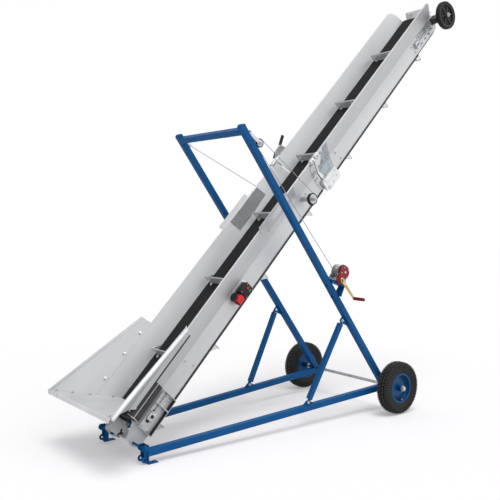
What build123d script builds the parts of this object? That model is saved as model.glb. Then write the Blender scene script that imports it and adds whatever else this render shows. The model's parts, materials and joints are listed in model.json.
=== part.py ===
from build123d import *
from math import cos, sin, degrees, radians, hypot, pi
import os

# Firewood conveyor: an inclined belt trough on a two-wheeled tube chassis with a winch mast.
# Millimetres. +X runs from the loading end to the wheels, +Y to the far side, +Z up.
# The boom is drawn lying flat (X along it, Z square to it) and then turned up about its
# lower tail corner.

# Boom
boom_angle = 46.0
tail_corner_x = 8.0
tail_corner_z = 48.0
boom_length = 4430.0
trough_half = 142.0
crease_height = 125.0
trough_depth = 282.0
flare_half = 209.0
sheet = 3.0
bottom_lip = 18.0
top_hem = 12.0
hem_drop = 40.0
tip_radius = 62.0
tail_reach = 27.0
tail_cut_high = 28.0
tail_cut_long = 15.0

# Fold
fold_at = 2400.0
fold_gap = 10.0
hinge_drop = 22.0
hinge_eye_r = 16.0
hinge_pin_r = 7.0
leaf_sheet = 4.0
leaf_low_length = 60.0
leaf_high_length = 157.0
leaf_foot = 14.0
leaf_play = 0.5
neck_reach = 50.0
neck_high = 40.0
housing_back = 34.0
housing_ahead = 156.0
housing_drop = 22.0
housing_high = 78.0
housing_depth = 26.0
housing_corner = 24.0

# Belt and drums
belt_gap = 4.0
belt_sheet = 5.0
drum_r = 90.0
drum_gap = 1.0
drum_height = 72.0
tail_drum_at = 205.0
head_drum_at = 4390.0
shaft_r = 12.5
deck_sheet = 3.0
deck_clear = 0.3
deck_flange = 42.0
deck_end_gap = 12.0

# Cleats: two runs with one pitch, one starting up the top strand, one down the return strand
cleat_pitch = 645.0
top_run_start = 380.0
return_run_start = 305.0
cleat_height = 62.0
cleat_foot = 32.0
cleat_gusset = 65.0
cleat_sheet = 4.0
cleat_edge = 7.0
cleat_inset = 2.0
cleat_seat = 0.5

# Hopper
hopper_length = 742.0
wing_low_width = 90.0
wing_high_width = 292.0
wing_flare = 43.0
front_plate_half = 212.0
front_plate_foot = 26.0
lip_depth = 22.0

# Side guard: a half-round shell on the flared wall beside the tail
side_guard_start = 60.0
side_guard_end = 370.0
side_guard_r = 46.0
side_guard_drop = 86.0

# Belt tensioners
tension_start = 104.0
tension_end = 380.0
tension_depth = 38.0
tension_divider = 291.0
slot_half = 40.0
slot_play = 1.0
carrier_half = 30.0
carrier_reach = 24.0
carrier_depth = 13.0
screw_r = 5.0
screw_length = 120.0
head_plate_start = 4140.0
head_plate_end = 4440.0
head_plate_low = 12.0
head_plate_top_gap = 4.0
head_block_half = 46.0
head_block_reach = 34.0
head_block_depth = 10.0
anchor_start = 4062.0
anchor_end = 4118.0
anchor_reach = 26.0

# Lifting crossbar
lift_at = 2144.0
lift_height = 97.0
lift_tube_r = 20.0
lift_half = 236.0
lift_sheave_r = 40.0
lift_sheave_width = 22.0
lift_cheek = 5.0
lift_boss = 22.0
lift_boss_r = 14.0

# Upright guards on the trough's top edges
guard_start = 1640.0
guard_end = 1997.0
guard_rise = 33.0
guard_lean = 30.0
guard_plate_start = 1723.0
guard_plate_end = 2104.0
guard_plate_foot = 66.0

# Switch box
switch_at = 1282.0
switch_height = 84.0
switch_length = 120.0
switch_width = 82.0
switch_depth = 66.0
inlet_r = 33.0
inlet_length = 62.0
button_r = 11.0
button_places = (-16.0, 20.0)

# Clamp lever
latch_low_length = 80.0
latch_high_length = 155.0
latch_gap = 3.0
latch_drop = 70.0
latch_rise = 60.0
latch_grip_r = 13.0

# Head wheels
head_wheel_r = 122.0
head_wheel_width = 40.0
head_wheel_at = 4440.0
head_wheel_height = 95.0
head_wheel_gap = 49.0
head_wheel_band = 32.0
head_hub_r = 26.0
head_spokes = 6
head_spoke = 16.0
head_axle_r = 10.0
head_bore_play = 0.3
bracket_half = 26.0
bracket_sheet = 6.0

# Chassis tubes
tube_side = 45.0
tube_wall = 3.0
tube_corner = 5.0
rail_front_x = -4.0
rail_front_y = 276.0
rail_front_z = 68.0
rail_rear_y = 380.0
rail_rear_z = 180.0
axle_x = 2076.0
axle_z = 200.0
axle_r = 12.5
mast_top_x = 658.0
mast_top_z = 2123.0
crossbar_below = 28.0
strut_side = 36.0
strut_top_x = 1610.0
strut_top_z = 745.0
strut_low_x = 1296.0
strut_low_z = 174.0
strut_pin_r = 7.0
strut_tip = 26.0
lug_sheet = 6.0
pin_play = 0.05

# Front feet and boom pivot
pivot_x = -28.0
pivot_z = 98.0
pivot_bolt_r = 8.0
pivot_play = 0.05
hitch_z = 30.0
hitch_r = 7.0
lug_width = 40.0
lug_outer_y = 285.0
lug_inner_y = 235.0
foot_length = 62.0
foot_width = 38.0
foot_hole_r = 7.0
sleeve_r = 15.0

# Wheels
wheel_y = 529.0
wheel_r = 200.0
tyre_half = 46.0
rim_r = 108.0
hub_half = 50.0
hub_r = 22.0
wheel_play = 0.3

# Winch, on a wedge bracket on the near upright
winch_x = 1580.0
winch_y = 390.0
winch_z = 1112.0
winch_drum_r = 38.0
winch_flange_r = 58.0
winch_drum_half = 32.0
winch_plate = 4.0
winch_cover_r = 50.0
winch_cover_depth = 14.0
winch_base_high = 1060.0
winch_base_tip = 934.0
winch_base_low = 890.0
winch_base_reach = 109.0
winch_base_half = 30.0
crank_x = 1535.0
crank_z = 1057.0
crank_end_x = 1663.0
crank_end_z = 913.0
crank_gap = 5.0
crank_shaft_r = 8.0
grip_length = 100.0
grip_r = 13.0

# Ropes and mast blocks
rope_r = 2.5
rope_play = 0.2
sheave_r = 28.0
sheave_half = 6.0
sheave_along = 2222.0
sheave_out = 66.0
shackle_length = 44.0
eye_along = 2326.0
eye_r = 17.0
eye_bore = 11.0

wall_inner = trough_half - sheet
belt_width = 2 * (trough_half - bottom_lip - belt_gap)
drum_width = 2 * (trough_half - bottom_lip - drum_gap)
belt_inner_top = drum_height + drum_r
belt_outer_r = drum_r + belt_sheet
head_wheel_y = flare_half + top_hem + head_wheel_gap + head_wheel_width / 2
boom_place = Location((tail_corner_x, 0, tail_corner_z), (0, -boom_angle, 0))
parts = {}


def boom_point(along, y, high):
    turn = radians(boom_angle)
    x = tail_corner_x + along * cos(turn) - high * sin(turn)
    z = tail_corner_z + along * sin(turn) + high * cos(turn)
    return Vector(x, y, z)


def offset_path(path, distance):
    # Moves an open path of (y, z) points to its left by a distance, with mitred corners.
    moved = []
    for i, (y, z) in enumerate(path):
        normals = []
        for a, b in ((i - 1, i), (i, i + 1)):
            if a >= 0 and b < len(path):
                dy, dz = path[b][0] - path[a][0], path[b][1] - path[a][1]
                size = hypot(dy, dz)
                normals.append((-dz / size, dy / size))
        ny = sum(n[0] for n in normals)
        nz = sum(n[1] for n in normals)
        scale = distance * len(normals) / (ny * ny + nz * nz)
        moved.append((y + ny * scale, z + nz * scale))
    return moved


def sheet_outline(path, thickness):
    return path + offset_path(path, thickness)[::-1]


def folded_sheet(path, thickness, start, end):
    # A folded sheet: its section in Y and Z, pulled along X.
    face = make_face(Polyline(*sheet_outline(path, thickness), close=True))
    return extrude(Plane.YZ.offset(start) * face, amount=end - start)


def side_plate(points, y_from, y_to):
    # A flat plate from an outline of (x, z) points, standing between two Y planes.
    face = make_face(Polyline(*points, close=True))
    return extrude(Plane.XZ.offset(-y_from) * face, amount=y_from - y_to)


def side_disc(x, z, radius, y_from, y_to):
    face = Pos(x, z) * Circle(radius)
    return extrude(Plane.XZ.offset(-y_from) * face, amount=y_from - y_to)


def block(x_from, x_to, y_from, y_to, z_from, z_to):
    size = Box(x_to - x_from, y_to - y_from, z_to - z_from)
    return Pos((x_from + x_to) / 2, (y_from + y_to) / 2, (z_from + z_to) / 2) * size


def bar(start, end, section):
    # A straight bar from one point to another; the section's X lies across the machine.
    axis = Vector(*end) - Vector(*start)
    run = axis.normalized()
    across = Vector(0, 1, 0) - run * run.Y
    return extrude(Plane(origin=start, x_dir=across, z_dir=run) * section, amount=axis.length)


def tube_section(side):
    outer = RectangleRounded(side, side, tube_corner)
    return outer - RectangleRounded(side - 2 * tube_wall, side - 2 * tube_wall, tube_corner - tube_wall)


def far(piece):
    return mirror(piece, about=Plane.XZ)


def add_pair(name, piece, place=None):
    # The near piece is drawn on the -Y side, and the far one mirrors it.
    for side, shape in (("near", piece), ("far", far(piece))):
        parts[side + "_" + name] = shape.moved(place) if place else shape


def add_both(name, piece, place=None):
    # Both sides of a small piece, kept together as one node.
    both = Compound(children=[piece, far(piece)])
    parts[name] = both.moved(place) if place else both


# Path of the side wall's outer face, from its bottom lip to its top hem
wall_path = [
    (-trough_half + bottom_lip, 0),
    (-trough_half, 0),
    (-trough_half, crease_height),
    (-flare_half, trough_depth),
    (-flare_half - top_hem, trough_depth),
]
flare_length = hypot(flare_half - trough_half, trough_depth - crease_height)
flare_y = (flare_half - trough_half) / flare_length
flare_z = (trough_depth - crease_height) / flare_length


def flare_point(up, out=0):
    # A point on the flared wall's outer face, a distance up from the crease and out of the face.
    y = -trough_half - flare_y * up - flare_z * out
    return (y, crease_height + flare_z * up - flare_y * out)


def tail_slot():
    # The cut in which the tail drum's shaft slides when the belt is tightened.
    high = shaft_r + slot_play
    return block(
        tail_drum_at - slot_half,
        tail_drum_at + slot_half,
        -trough_half - tension_depth,
        -wall_inner,
        drum_height - high,
        drum_height + high,
    )


def pivot_in_boom():
    # The boom pivot's place along and square to the boom.
    turn = radians(boom_angle)
    dx, dz = pivot_x - tail_corner_x, pivot_z - tail_corner_z
    return dx * cos(turn) + dz * sin(turn), -dx * sin(turn) + dz * cos(turn)


def build_walls():
    low_end = fold_at - fold_gap / 2
    high_start = fold_at + fold_gap / 2
    along, high = pivot_in_boom()
    low = folded_sheet(wall_path, -sheet, -tail_reach, low_end)
    tail_cut = [(-tail_reach, 0), (tail_cut_long - tail_reach, 0), (-tail_reach, tail_cut_high)]
    low -= side_plate(tail_cut, -trough_half, 0)
    low -= tail_slot()
    low -= side_disc(lift_at, lift_height, lift_tube_r, -trough_half, -wall_inner)
    low += side_disc(along, high, sleeve_r, lug_inner_y * -1 + lug_sheet / 2 + 5, -trough_half)
    low -= side_disc(along, high, pivot_bolt_r + pivot_play, -lug_inner_y, -wall_inner)
    add_pair("lower_wall", low, boom_place)
    high_wall = folded_sheet(wall_path, -sheet, high_start, boom_length)
    high_wall -= side_disc(head_drum_at, drum_height, shaft_r, -trough_half, -wall_inner)
    corner_x = boom_length - tip_radius
    corner_z = trough_depth + sheet - tip_radius
    corner = block(corner_x, boom_length, -flare_half * 2, 0, corner_z, trough_depth + sheet)
    corner -= side_disc(corner_x, corner_z, tip_radius, -flare_half * 2, 0)
    high_wall -= corner
    add_pair("upper_wall", high_wall, boom_place)


def build_decks():
    top = belt_inner_top - deck_clear
    low = top - deck_flange
    path = [(-wall_inner, low), (-wall_inner, top), (wall_inner, top), (wall_inner, low)]
    start = tail_drum_at + drum_r + deck_end_gap
    end = head_drum_at - drum_r - deck_end_gap
    for name, a, b in (
        ("lower_deck", start, fold_at - fold_gap / 2),
        ("upper_deck", fold_at + fold_gap / 2, end),
    ):
        parts[name] = folded_sheet(path, -deck_sheet, a, b).moved(boom_place)


def build_drums():
    reach = trough_half + leaf_sheet + head_block_depth
    for name, at in (("tail_drum", tail_drum_at), ("head_drum", head_drum_at)):
        shell = side_disc(at, drum_height, drum_r - deck_clear, -drum_width / 2, drum_width / 2)
        shaft = side_disc(at, drum_height, shaft_r, -reach, reach)
        parts[name] = (shell + shaft).moved(boom_place)


def cleat():
    # A bent angle standing on X = 0: its foot points down the belt, and a gusset closes each end.
    # Its top edge leans a little up the belt.
    path = [(-cleat_foot, 0), (0, 0), (0, cleat_height - cleat_edge), (cleat_edge / 2, cleat_height)]
    half = belt_width / 2 - cleat_inset
    angle = side_plate(sheet_outline(path, cleat_sheet), -half, half)
    web = [(0, 0), (cleat_gusset, 0), (0, cleat_height - cleat_edge)]
    gusset = side_plate(web, -half, -half + cleat_sheet)
    return angle + gusset + far(gusset)


def belt_place(run):
    # A place on the belt's outer face, a distance along the loop from the top of the tail drum.
    straight = head_drum_at - tail_drum_at
    round_drum = pi * belt_outer_r
    run = run % (2 * (straight + round_drum))
    lift = Pos(0, 0, belt_outer_r)
    if run < straight:
        return Pos(tail_drum_at + run, 0, drum_height) * lift
    if run < straight + round_drum:
        return Pos(head_drum_at, 0, drum_height) * Rot(0, degrees((run - straight) / belt_outer_r), 0) * lift
    run -= straight + round_drum
    if run < straight:
        return Pos(head_drum_at - run, 0, drum_height) * Rot(0, 180, 0) * lift
    turned = 180 + degrees((run - straight) / belt_outer_r)
    return Pos(tail_drum_at, 0, drum_height) * Rot(0, turned, 0) * lift


def build_belts():
    length = head_drum_at - tail_drum_at
    centre = (tail_drum_at + head_drum_at) / 2
    loop = SlotCenterToCenter(length, 2 * belt_outer_r) - SlotCenterToCenter(length, 2 * drum_r)
    flat = Plane.XZ.offset(belt_width / 2) * (Pos(centre, drum_height) * loop)
    belt = extrude(flat, amount=-belt_width)
    half_loop = length + pi * belt_outer_r
    cleats_per_run = round(half_loop / cleat_pitch)
    low_side, high_side = [], []
    for start in (top_run_start, half_loop + return_run_start):
        for k in range(cleats_per_run):
            place = belt_place(start + k * cleat_pitch - cleat_foot / 2)
            piece = place * Pos(cleat_foot / 2, 0, -cleat_seat) * cleat()
            (low_side if place.position.X < fold_at else high_side).append(piece)
    reach = belt_width * 2
    low_keep = block(-boom_length, fold_at - fold_gap / 2, -reach, reach, -reach, reach)
    high_keep = block(fold_at + fold_gap / 2, boom_length * 2, -reach, reach, -reach, reach)
    parts["lower_belt"] = ((belt & low_keep) + low_side).moved(boom_place)
    parts["upper_belt"] = ((belt & high_keep) + high_side).moved(boom_place)


def build_hopper():
    flare = radians(wing_flare)
    top_y, top_z = wall_path[-1]
    reach_y = top_y - wing_high_width * cos(flare)
    reach_z = top_z + wing_high_width * sin(flare)
    path = [(top_y, top_z - hem_drop), (top_y, top_z), (reach_y, reach_z)]
    wing = folded_sheet(path, sheet, -tail_reach, hopper_length)
    low = reach_z + sheet - (wing_high_width - wing_low_width) * sin(flare)
    beyond = reach_z + wing_high_width
    slope = [
        (-tail_reach, reach_z + sheet),
        (hopper_length, low),
        (hopper_length, beyond),
        (-tail_reach, beyond),
    ]
    add_pair("hopper_wing", wing - side_plate(slope, reach_y - wing_high_width, 0), boom_place)
    plate = [
        (-front_plate_half, front_plate_foot),
        (front_plate_half, front_plate_foot),
        (front_plate_half, crease_height),
        (-top_y, top_z),
        (-reach_y, reach_z),
        (reach_y, reach_z),
        (top_y, top_z),
        (-front_plate_half, crease_height),
    ]
    face = make_face(Polyline(*plate, close=True))
    front = extrude(Plane.YZ.offset(-tail_reach - sheet) * face, amount=sheet)
    front += block(-tail_reach - lip_depth, -tail_reach, reach_y, -reach_y, reach_z, reach_z + sheet)
    parts["hopper_front"] = front.moved(boom_place)


def build_side_guards():
    centre_y, centre_z = flare_point((trough_depth - side_guard_drop - crease_height) / flare_z)
    ring = Circle(side_guard_r) - Circle(side_guard_r - sheet)
    body = extrude(
        Plane.YZ.offset(side_guard_start) * (Pos(centre_y, centre_z) * ring),
        amount=side_guard_end - side_guard_start,
    )
    inside = [flare_point(-side_guard_r * 3), flare_point(side_guard_r * 4), (flare_half, trough_depth), (0, 0)]
    inner = make_face(Polyline(*inside, close=True))
    body -= extrude(Plane.YZ.offset(side_guard_start - 1) * inner, amount=side_guard_end - side_guard_start + 2)
    add_both("side_guards", body, boom_place)


def build_tensioners():
    y_in = -trough_half
    y_out = y_in - tension_depth
    box = block(tension_start, tension_end, y_out, y_in, 0, crease_height)
    for start, end in ((tension_start, tension_divider), (tension_divider, tension_end)):
        box -= block(start + sheet, end - sheet, y_out, y_in - sheet, sheet, crease_height - sheet)
    box -= tail_slot()
    y_face = y_in - sheet
    carrier = block(
        tail_drum_at - carrier_half,
        tail_drum_at + carrier_half,
        y_face - carrier_depth,
        y_face,
        drum_height - carrier_reach,
        drum_height + carrier_reach,
    )
    carrier -= side_disc(tail_drum_at, drum_height, shaft_r, y_out, y_in)
    screw = Pos(y_face - carrier_depth / 2, drum_height) * Circle(screw_r)
    screw = extrude(Plane.YZ.offset(tail_drum_at + carrier_half) * screw, amount=screw_length)
    add_pair("tail_tensioner", box + carrier + screw, boom_place)
    y_plate = y_in - leaf_sheet
    y_block = y_plate - head_block_depth
    plate = block(
        head_plate_start, head_plate_end, y_plate, y_in, head_plate_low, crease_height - head_plate_top_gap
    )
    plate += block(
        head_drum_at - head_block_half,
        head_drum_at + head_block_half,
        y_block,
        y_plate,
        drum_height - head_block_reach,
        drum_height + head_block_reach,
    )
    anchor_low, anchor_high = drum_height - anchor_reach, drum_height + anchor_reach
    plate += block(anchor_start, anchor_end, y_in - anchor_reach, y_in, anchor_low, anchor_high)
    screw = Pos(y_block + head_block_depth / 2, drum_height) * Circle(screw_r - 1)
    screw_end = head_drum_at - head_block_half
    plate += extrude(Plane.YZ.offset(anchor_end) * screw, amount=screw_end - anchor_end)
    plate -= side_disc(head_drum_at, drum_height, shaft_r, y_out, y_in)
    add_pair("head_bearing", plate, boom_place)


def build_lift():
    # A cross tube between the belt strands, with a rope sheave at each end.
    tube = side_disc(lift_at, lift_height, lift_tube_r, -lift_half, lift_half)
    tube -= side_disc(lift_at, lift_height, lift_tube_r - tube_wall, -lift_half, lift_half)
    cheek = side_disc(lift_at, lift_height, lift_sheave_r - lift_cheek, -lift_half - lift_cheek, -lift_half)
    out = -lift_half - lift_cheek - lift_sheave_width
    wheel = side_disc(lift_at, lift_height, lift_sheave_r, out, -lift_half - lift_cheek)
    cap = side_disc(lift_at, lift_height, lift_tube_r, out - lift_cheek, out)
    boss = side_disc(lift_at, lift_height, lift_boss_r, out - lift_boss, out - lift_cheek)
    end = cheek + wheel + cap + boss
    parts["lift_crossbar"] = (tube + end + far(end)).moved(boom_place)
    top_y, top_z = wall_path[-1]
    path = [(top_y, top_z - hem_drop), (top_y, top_z), (-flare_half - guard_lean, top_z + guard_rise)]
    guard = folded_sheet(path, sheet, guard_start, guard_end)
    path = [flare_point(guard_plate_foot), flare_point(flare_length - sheet)]
    plate = folded_sheet(path, sheet, guard_plate_start, guard_plate_end)
    sides = [guard, far(guard), plate, far(plate)]
    parts["upright_guards"] = Compound(children=sides).moved(boom_place)


def build_switch():
    y_in = -trough_half
    y_out = y_in - switch_depth
    a, b = switch_at - switch_length / 2, switch_at + switch_length / 2
    low, high = switch_height - switch_width / 2, switch_height + switch_width / 2
    body = block(a, b, y_out, y_in - leaf_sheet, low, high)
    body = fillet(body.edges().filter_by(Axis.Y), 8)
    body += block(a - 14, b + 24, y_in - leaf_sheet, y_in, low - 10, min(high + 12, crease_height - 2))
    parts["switch_box"] = body.moved(boom_place)
    inlet_y = y_in - switch_depth / 2 - 4
    start = a - inlet_length
    collar = Plane.YZ.offset(start) * (Pos(inlet_y, switch_height - 4) * Circle(inlet_r))
    hollow = Plane.YZ.offset(start) * (Pos(inlet_y, switch_height - 4) * Circle(inlet_r - 4))
    inlet = extrude(collar, amount=inlet_length) - extrude(hollow, amount=inlet_length - 16)
    parts["power_inlet"] = inlet.moved(boom_place)
    buttons = [
        side_disc(switch_at + shift, switch_height, button_r, y_out - 8, y_out) for shift in button_places
    ]
    parts["switch_buttons"] = Compound(children=buttons).moved(boom_place)


def build_fold():
    # Plates on both sides of the fold with an eye below the trough, and a cast housing round it.
    y_wall = -trough_half
    thick = leaf_sheet + leaf_play
    eye_z = -hinge_drop
    y_housing = y_wall - thick - leaf_sheet - housing_depth
    leaf_path = [(y_wall, leaf_foot), (y_wall, crease_height), flare_point(flare_length)]
    for name, way, length, leaf_thick, y_eye in (
        ("fold_leaves_lower", -1, leaf_low_length, leaf_sheet, y_wall),
        ("fold_leaves_upper", 1, leaf_high_length, thick, y_wall - thick),
    ):
        near_fold = fold_at + way * fold_gap / 2
        start, end = sorted((near_fold, near_fold + way * length))
        leaf = folded_sheet(leaf_path, leaf_thick, start, end)
        away = near_fold + way * neck_reach
        eye_low = eye_z - hinge_eye_r + 1
        neck = [
            (near_fold, neck_high),
            (away, neck_high),
            (away, 0),
            (fold_at + way * neck_reach / 5, eye_low),
            (near_fold, eye_low),
        ]
        eye = side_plate(neck, y_eye - leaf_sheet, y_eye)
        eye += side_disc(fold_at, eye_z, hinge_eye_r, y_eye - leaf_sheet, y_eye)
        if way < 0:
            leaf += eye + side_disc(fold_at, eye_z, hinge_pin_r, y_housing, y_wall)
        else:
            housing = block(
                fold_at - housing_back,
                fold_at + housing_ahead,
                y_housing,
                y_eye - leaf_sheet,
                eye_z - housing_drop,
                eye_z + housing_high,
            )
            leaf += eye + fillet(housing.edges().filter_by(Axis.Y), housing_corner)
            leaf -= side_disc(fold_at, eye_z, hinge_pin_r + pivot_play, y_housing, y_wall - thick)
        add_both(name, leaf, boom_place)


def build_latch():
    # The clamp lever on the far top edge that holds the two boom halves in line.
    y = flare_half + top_hem
    y_plate = y + leaf_sheet
    foot = trough_depth - latch_drop
    low_end = fold_at - fold_gap / 2 - latch_gap
    high_start = fold_at + fold_gap / 2 + latch_gap
    tail, head = low_end - latch_low_length, high_start + latch_high_length
    hook = [
        (tail, foot),
        (low_end, foot),
        (low_end, trough_depth + latch_rise / 3),
        (low_end - latch_low_length * 0.7, trough_depth + latch_rise / 3),
        (tail, trough_depth),
    ]
    parts["latch_hook"] = side_plate(hook, y, y_plate).moved(boom_place)
    top = trough_depth + latch_rise
    base = [
        (high_start, foot),
        (head, foot),
        (head, trough_depth),
        (head - latch_high_length * 0.2, top),
        (head - latch_high_length * 0.6, top),
        (high_start, trough_depth + latch_rise / 3),
    ]
    pivot_at, pivot_high = high_start + latch_high_length / 2, trough_depth + latch_rise / 2
    grip_at, grip_high = pivot_at + 55, pivot_high + 20
    lever = [
        (pivot_at - 12, pivot_high - 14),
        (pivot_at + 10, pivot_high - 16),
        (grip_at + 8, grip_high - 10),
        (grip_at, grip_high + 12),
    ]
    piece = side_plate(base, y, y_plate) + side_plate(lever, y_plate + 8, y_plate + 14)
    piece += side_disc(pivot_at, pivot_high, 9, y_plate, y_plate + 16)
    parts["latch_lever"] = piece.moved(boom_place)
    grip_start = boom_point(grip_at - 2, y_plate + 11, grip_high)
    grip_end = boom_point(grip_at + 76, y_plate + 11, grip_high + 34)
    parts["latch_grip"] = bar(grip_start, grip_end, Circle(latch_grip_r)) - parts["latch_lever"]


def head_wheel():
    # Six spokes between a hub and a solid tyre ring, drawn about the Y axis.
    half = head_wheel_width / 2
    inner_r = head_wheel_r - head_wheel_band
    outline = Circle(head_wheel_r) - Circle(inner_r) + Circle(head_hub_r)
    reach = head_wheel_r - head_hub_r - head_wheel_band / 2
    wheel = extrude(Plane.XZ.offset(half) * outline, amount=-head_wheel_width)
    spoke = Pos(head_hub_r + reach / 2 - 4, 0, 0) * Box(reach, head_spoke, head_hub_r)
    for k in range(head_spokes):
        wheel += Rot(0, 360 / head_spokes * (k + 0.5), 0) * spoke
    bore = Circle(head_axle_r + head_bore_play)
    return wheel - extrude(Plane.XZ.offset(half + 1) * bore, amount=-head_wheel_width - 2)


def build_head_wheels():
    centre = boom_point(head_wheel_at, -head_wheel_y, head_wheel_height)
    add_pair("head_wheel", Pos(*centre) * head_wheel())
    seat = -trough_half - leaf_sheet - head_block_depth
    inner = -head_wheel_y + head_wheel_width / 2 + 6
    outer = -head_wheel_y - head_wheel_width / 2 - 5
    low, high = head_wheel_height - bracket_half, head_wheel_height + bracket_half
    back = head_wheel_at - 2 * bracket_half
    channel = [
        (back + bracket_half * 2.4, high),
        (back, high),
        (back, low),
        (back + bracket_half * 2.4, low),
    ]
    bracket = side_plate(sheet_outline(channel, bracket_sheet), inner, seat)
    bracket += block(back, head_wheel_at + bracket_half, inner, inner + bracket_sheet, low, high)
    bracket += side_disc(head_wheel_at, head_wheel_height, head_axle_r, outer - 5, inner)
    bracket += side_disc(head_wheel_at, head_wheel_height, head_axle_r + 6, outer - 5, outer)
    add_both("head_brackets", bracket, boom_place)


mast_length = hypot(mast_top_x - axle_x, mast_top_z - axle_z)
mast_dir = Vector(mast_top_x - axle_x, 0, mast_top_z - axle_z).normalized()


def mast_at(along, out):
    # A point beside the upright: a distance up it from the axle, and out toward +X.
    x = axle_x + mast_dir.X * along + mast_dir.Z * out
    return x, axle_z + mast_dir.Z * along - mast_dir.X * out


def build_chassis():
    side = tube_section(tube_side)
    solid = Rectangle(tube_side, tube_side)
    start, end = mast_at(-14, 0), mast_at(mast_length, 0)
    y = -rail_rear_y
    upright = bar((start[0], y, start[1]), (end[0], y, end[1]), side)
    envelope = bar((start[0], y, start[1]), (end[0], y, end[1]), solid)
    for x, z in (start, end):
        cap = side_disc(x, z, tube_side / 2, y - tube_side / 2, y + tube_side / 2)
        upright += cap - envelope
        envelope += cap
    axle_hole = side_disc(axle_x, axle_z, axle_r, y - tube_side, y + tube_side)
    upright -= axle_hole
    rail_end = Vector(axle_x + 20, -rail_rear_y, rail_rear_z)
    rail_start = Vector(rail_front_x - 40, -rail_front_y, rail_front_z)
    rail_solid = bar(rail_start, rail_end, solid)
    rail = bar(rail_start, rail_end, side) - envelope - axle_hole
    rail -= block(rail_front_x - 100, rail_front_x, -rail_rear_y, 0, 0, rail_rear_z)
    rail = sorted(rail.solids(), key=lambda piece: piece.volume)[-1]
    share = (strut_low_x - rail_start.X) / (rail_end.X - rail_start.X)
    low = rail_start + (rail_end - rail_start) * share
    rail_top = low.Z + tube_side / 2
    low = Vector(strut_low_x, low.Y, strut_low_z)
    high = Vector(strut_top_x, y, strut_top_z)
    low_lug = side_plate(
        [
            (low.X - 60, rail_top - 12),
            (low.X + 60, rail_top - 4),
            (low.X + 15, low.Z + 13),
            (low.X - 15, low.Z + 13),
        ],
        low.Y - lug_sheet / 2,
        low.Y + lug_sheet / 2,
    )
    foot_x, foot_z = mast_at(mast_length * (high.Z - 70 - axle_z) / (mast_top_z - axle_z), 0)
    head_x, head_z = mast_at(mast_length * (high.Z + 50 - axle_z) / (mast_top_z - axle_z), 0)
    top_lug = side_plate(
        [(high.X - 16, high.Z - 14), (foot_x, foot_z), (head_x, head_z), (high.X - 12, high.Z + 14)],
        high.Y - lug_sheet / 2,
        high.Y + lug_sheet / 2,
    )
    run = (high - low).normalized()
    strut = bar(low + run * strut_tip, high - run * strut_tip, tube_section(strut_side))
    for point, way, lug in ((low, 1, low_lug), (high, -1, top_lug)):
        plug = Rectangle(strut_side - 2 * tube_wall, strut_side - 2 * tube_wall)
        strut += bar(point + run * way * strut_tip, point + run * way * (strut_tip + lug_sheet), plug)
        y_out, y_in = point.Y - lug_sheet * 1.5, point.Y - lug_sheet / 2
        side_run = Vector(run.X, 0, run.Z).normalized() * way * (strut_tip + lug_sheet / 2)
        across = Vector(-run.Z, 0, run.X).normalized() * 13
        corners = [point + across, point - across, point + side_run - across, point + side_run + across]
        strut += side_plate([(p.X, p.Z) for p in corners], y_out, y_in)
        strut += side_disc(point.X, point.Z, 13, y_out, y_in)
        strut += side_disc(point.X, point.Z, strut_pin_r, y_out, point.Y + lug_sheet * 1.5)
    for point, lug in ((low, low_lug), (high, top_lug)):
        hole = side_disc(point.X, point.Z, strut_pin_r + pin_play, point.Y - tube_side, point.Y + tube_side)
        if point is low:
            rail += lug - rail_solid - hole
        else:
            upright += lug - envelope - hole
    add_pair("rail", rail)
    add_pair("upright", upright)
    add_pair("strut", strut - rail_solid)
    bar_at = mast_at(mast_length - crossbar_below, 0)
    half = rail_rear_y - tube_side / 2
    plane = Plane(origin=(bar_at[0], -half, bar_at[1]), x_dir=mast_dir, z_dir=(0, 1, 0))
    parts["mast_crossbar"] = extrude(plane * side, amount=2 * half)
    end_y = wheel_y + hub_half + 11
    axle = side_disc(axle_x, axle_z, axle_r, -end_y, end_y)
    for y_from in (-end_y, -wheel_y + hub_half + 5):
        collar = side_disc(axle_x, axle_z, axle_r + 8, y_from, y_from + 6)
        axle += collar + far(collar)
    parts["axle"] = axle
    return rail_solid


def build_feet(rail_solid):
    x_web = rail_front_x
    low, high = hitch_z - lug_width / 2, pivot_z + lug_width / 2
    lug = side_plate([(pivot_x, low), (x_web, low), (x_web, high), (pivot_x, high)], 0, lug_sheet)
    lug += side_disc(pivot_x, pivot_z, lug_width / 2, 0, lug_sheet)
    lug += side_disc(pivot_x, hitch_z, lug_width / 2, 0, lug_sheet)
    lug -= side_disc(pivot_x, pivot_z, pivot_bolt_r, 0, lug_sheet)
    lug -= side_disc(pivot_x, hitch_z, hitch_r, 0, lug_sheet)
    foot = Pos(0, -lug_outer_y - lug_sheet / 2, 0) * lug + Pos(0, -lug_inner_y - lug_sheet / 2, 0) * lug
    out = -rail_front_y - tube_side / 2 - 2
    foot += block(x_web - lug_sheet, x_web, out, -lug_inner_y + lug_sheet / 2, low, high)
    foot += block(x_web - lug_sheet, x_web, out, out + foot_width, 0, hitch_z)
    foot += block(x_web - lug_sheet, foot_length, out, out + foot_width, 0, lug_sheet)
    foot -= Pos(foot_length - 22, out + foot_width / 2, 0) * Cylinder(foot_hole_r, 4 * lug_sheet)
    gusset = make_face(Polyline((x_web, -lug_inner_y), (x_web + 90, -rail_front_y), (x_web, -rail_front_y), close=True))
    foot += extrude(Plane.XY.offset(rail_front_z + 12) * gusset, amount=lug_sheet) - rail_solid
    add_pair("front_foot", foot)
    outer = -lug_outer_y - lug_sheet / 2
    bolt = side_disc(pivot_x, pivot_z, pivot_bolt_r, outer, -wall_inner + 14)
    bolt += side_disc(pivot_x, pivot_z, 13, outer - 9, outer)
    bolt += side_disc(pivot_x, pivot_z, 13, -wall_inner + 2, -wall_inner + 12)
    add_both("pivot_bolts", bolt)


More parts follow.
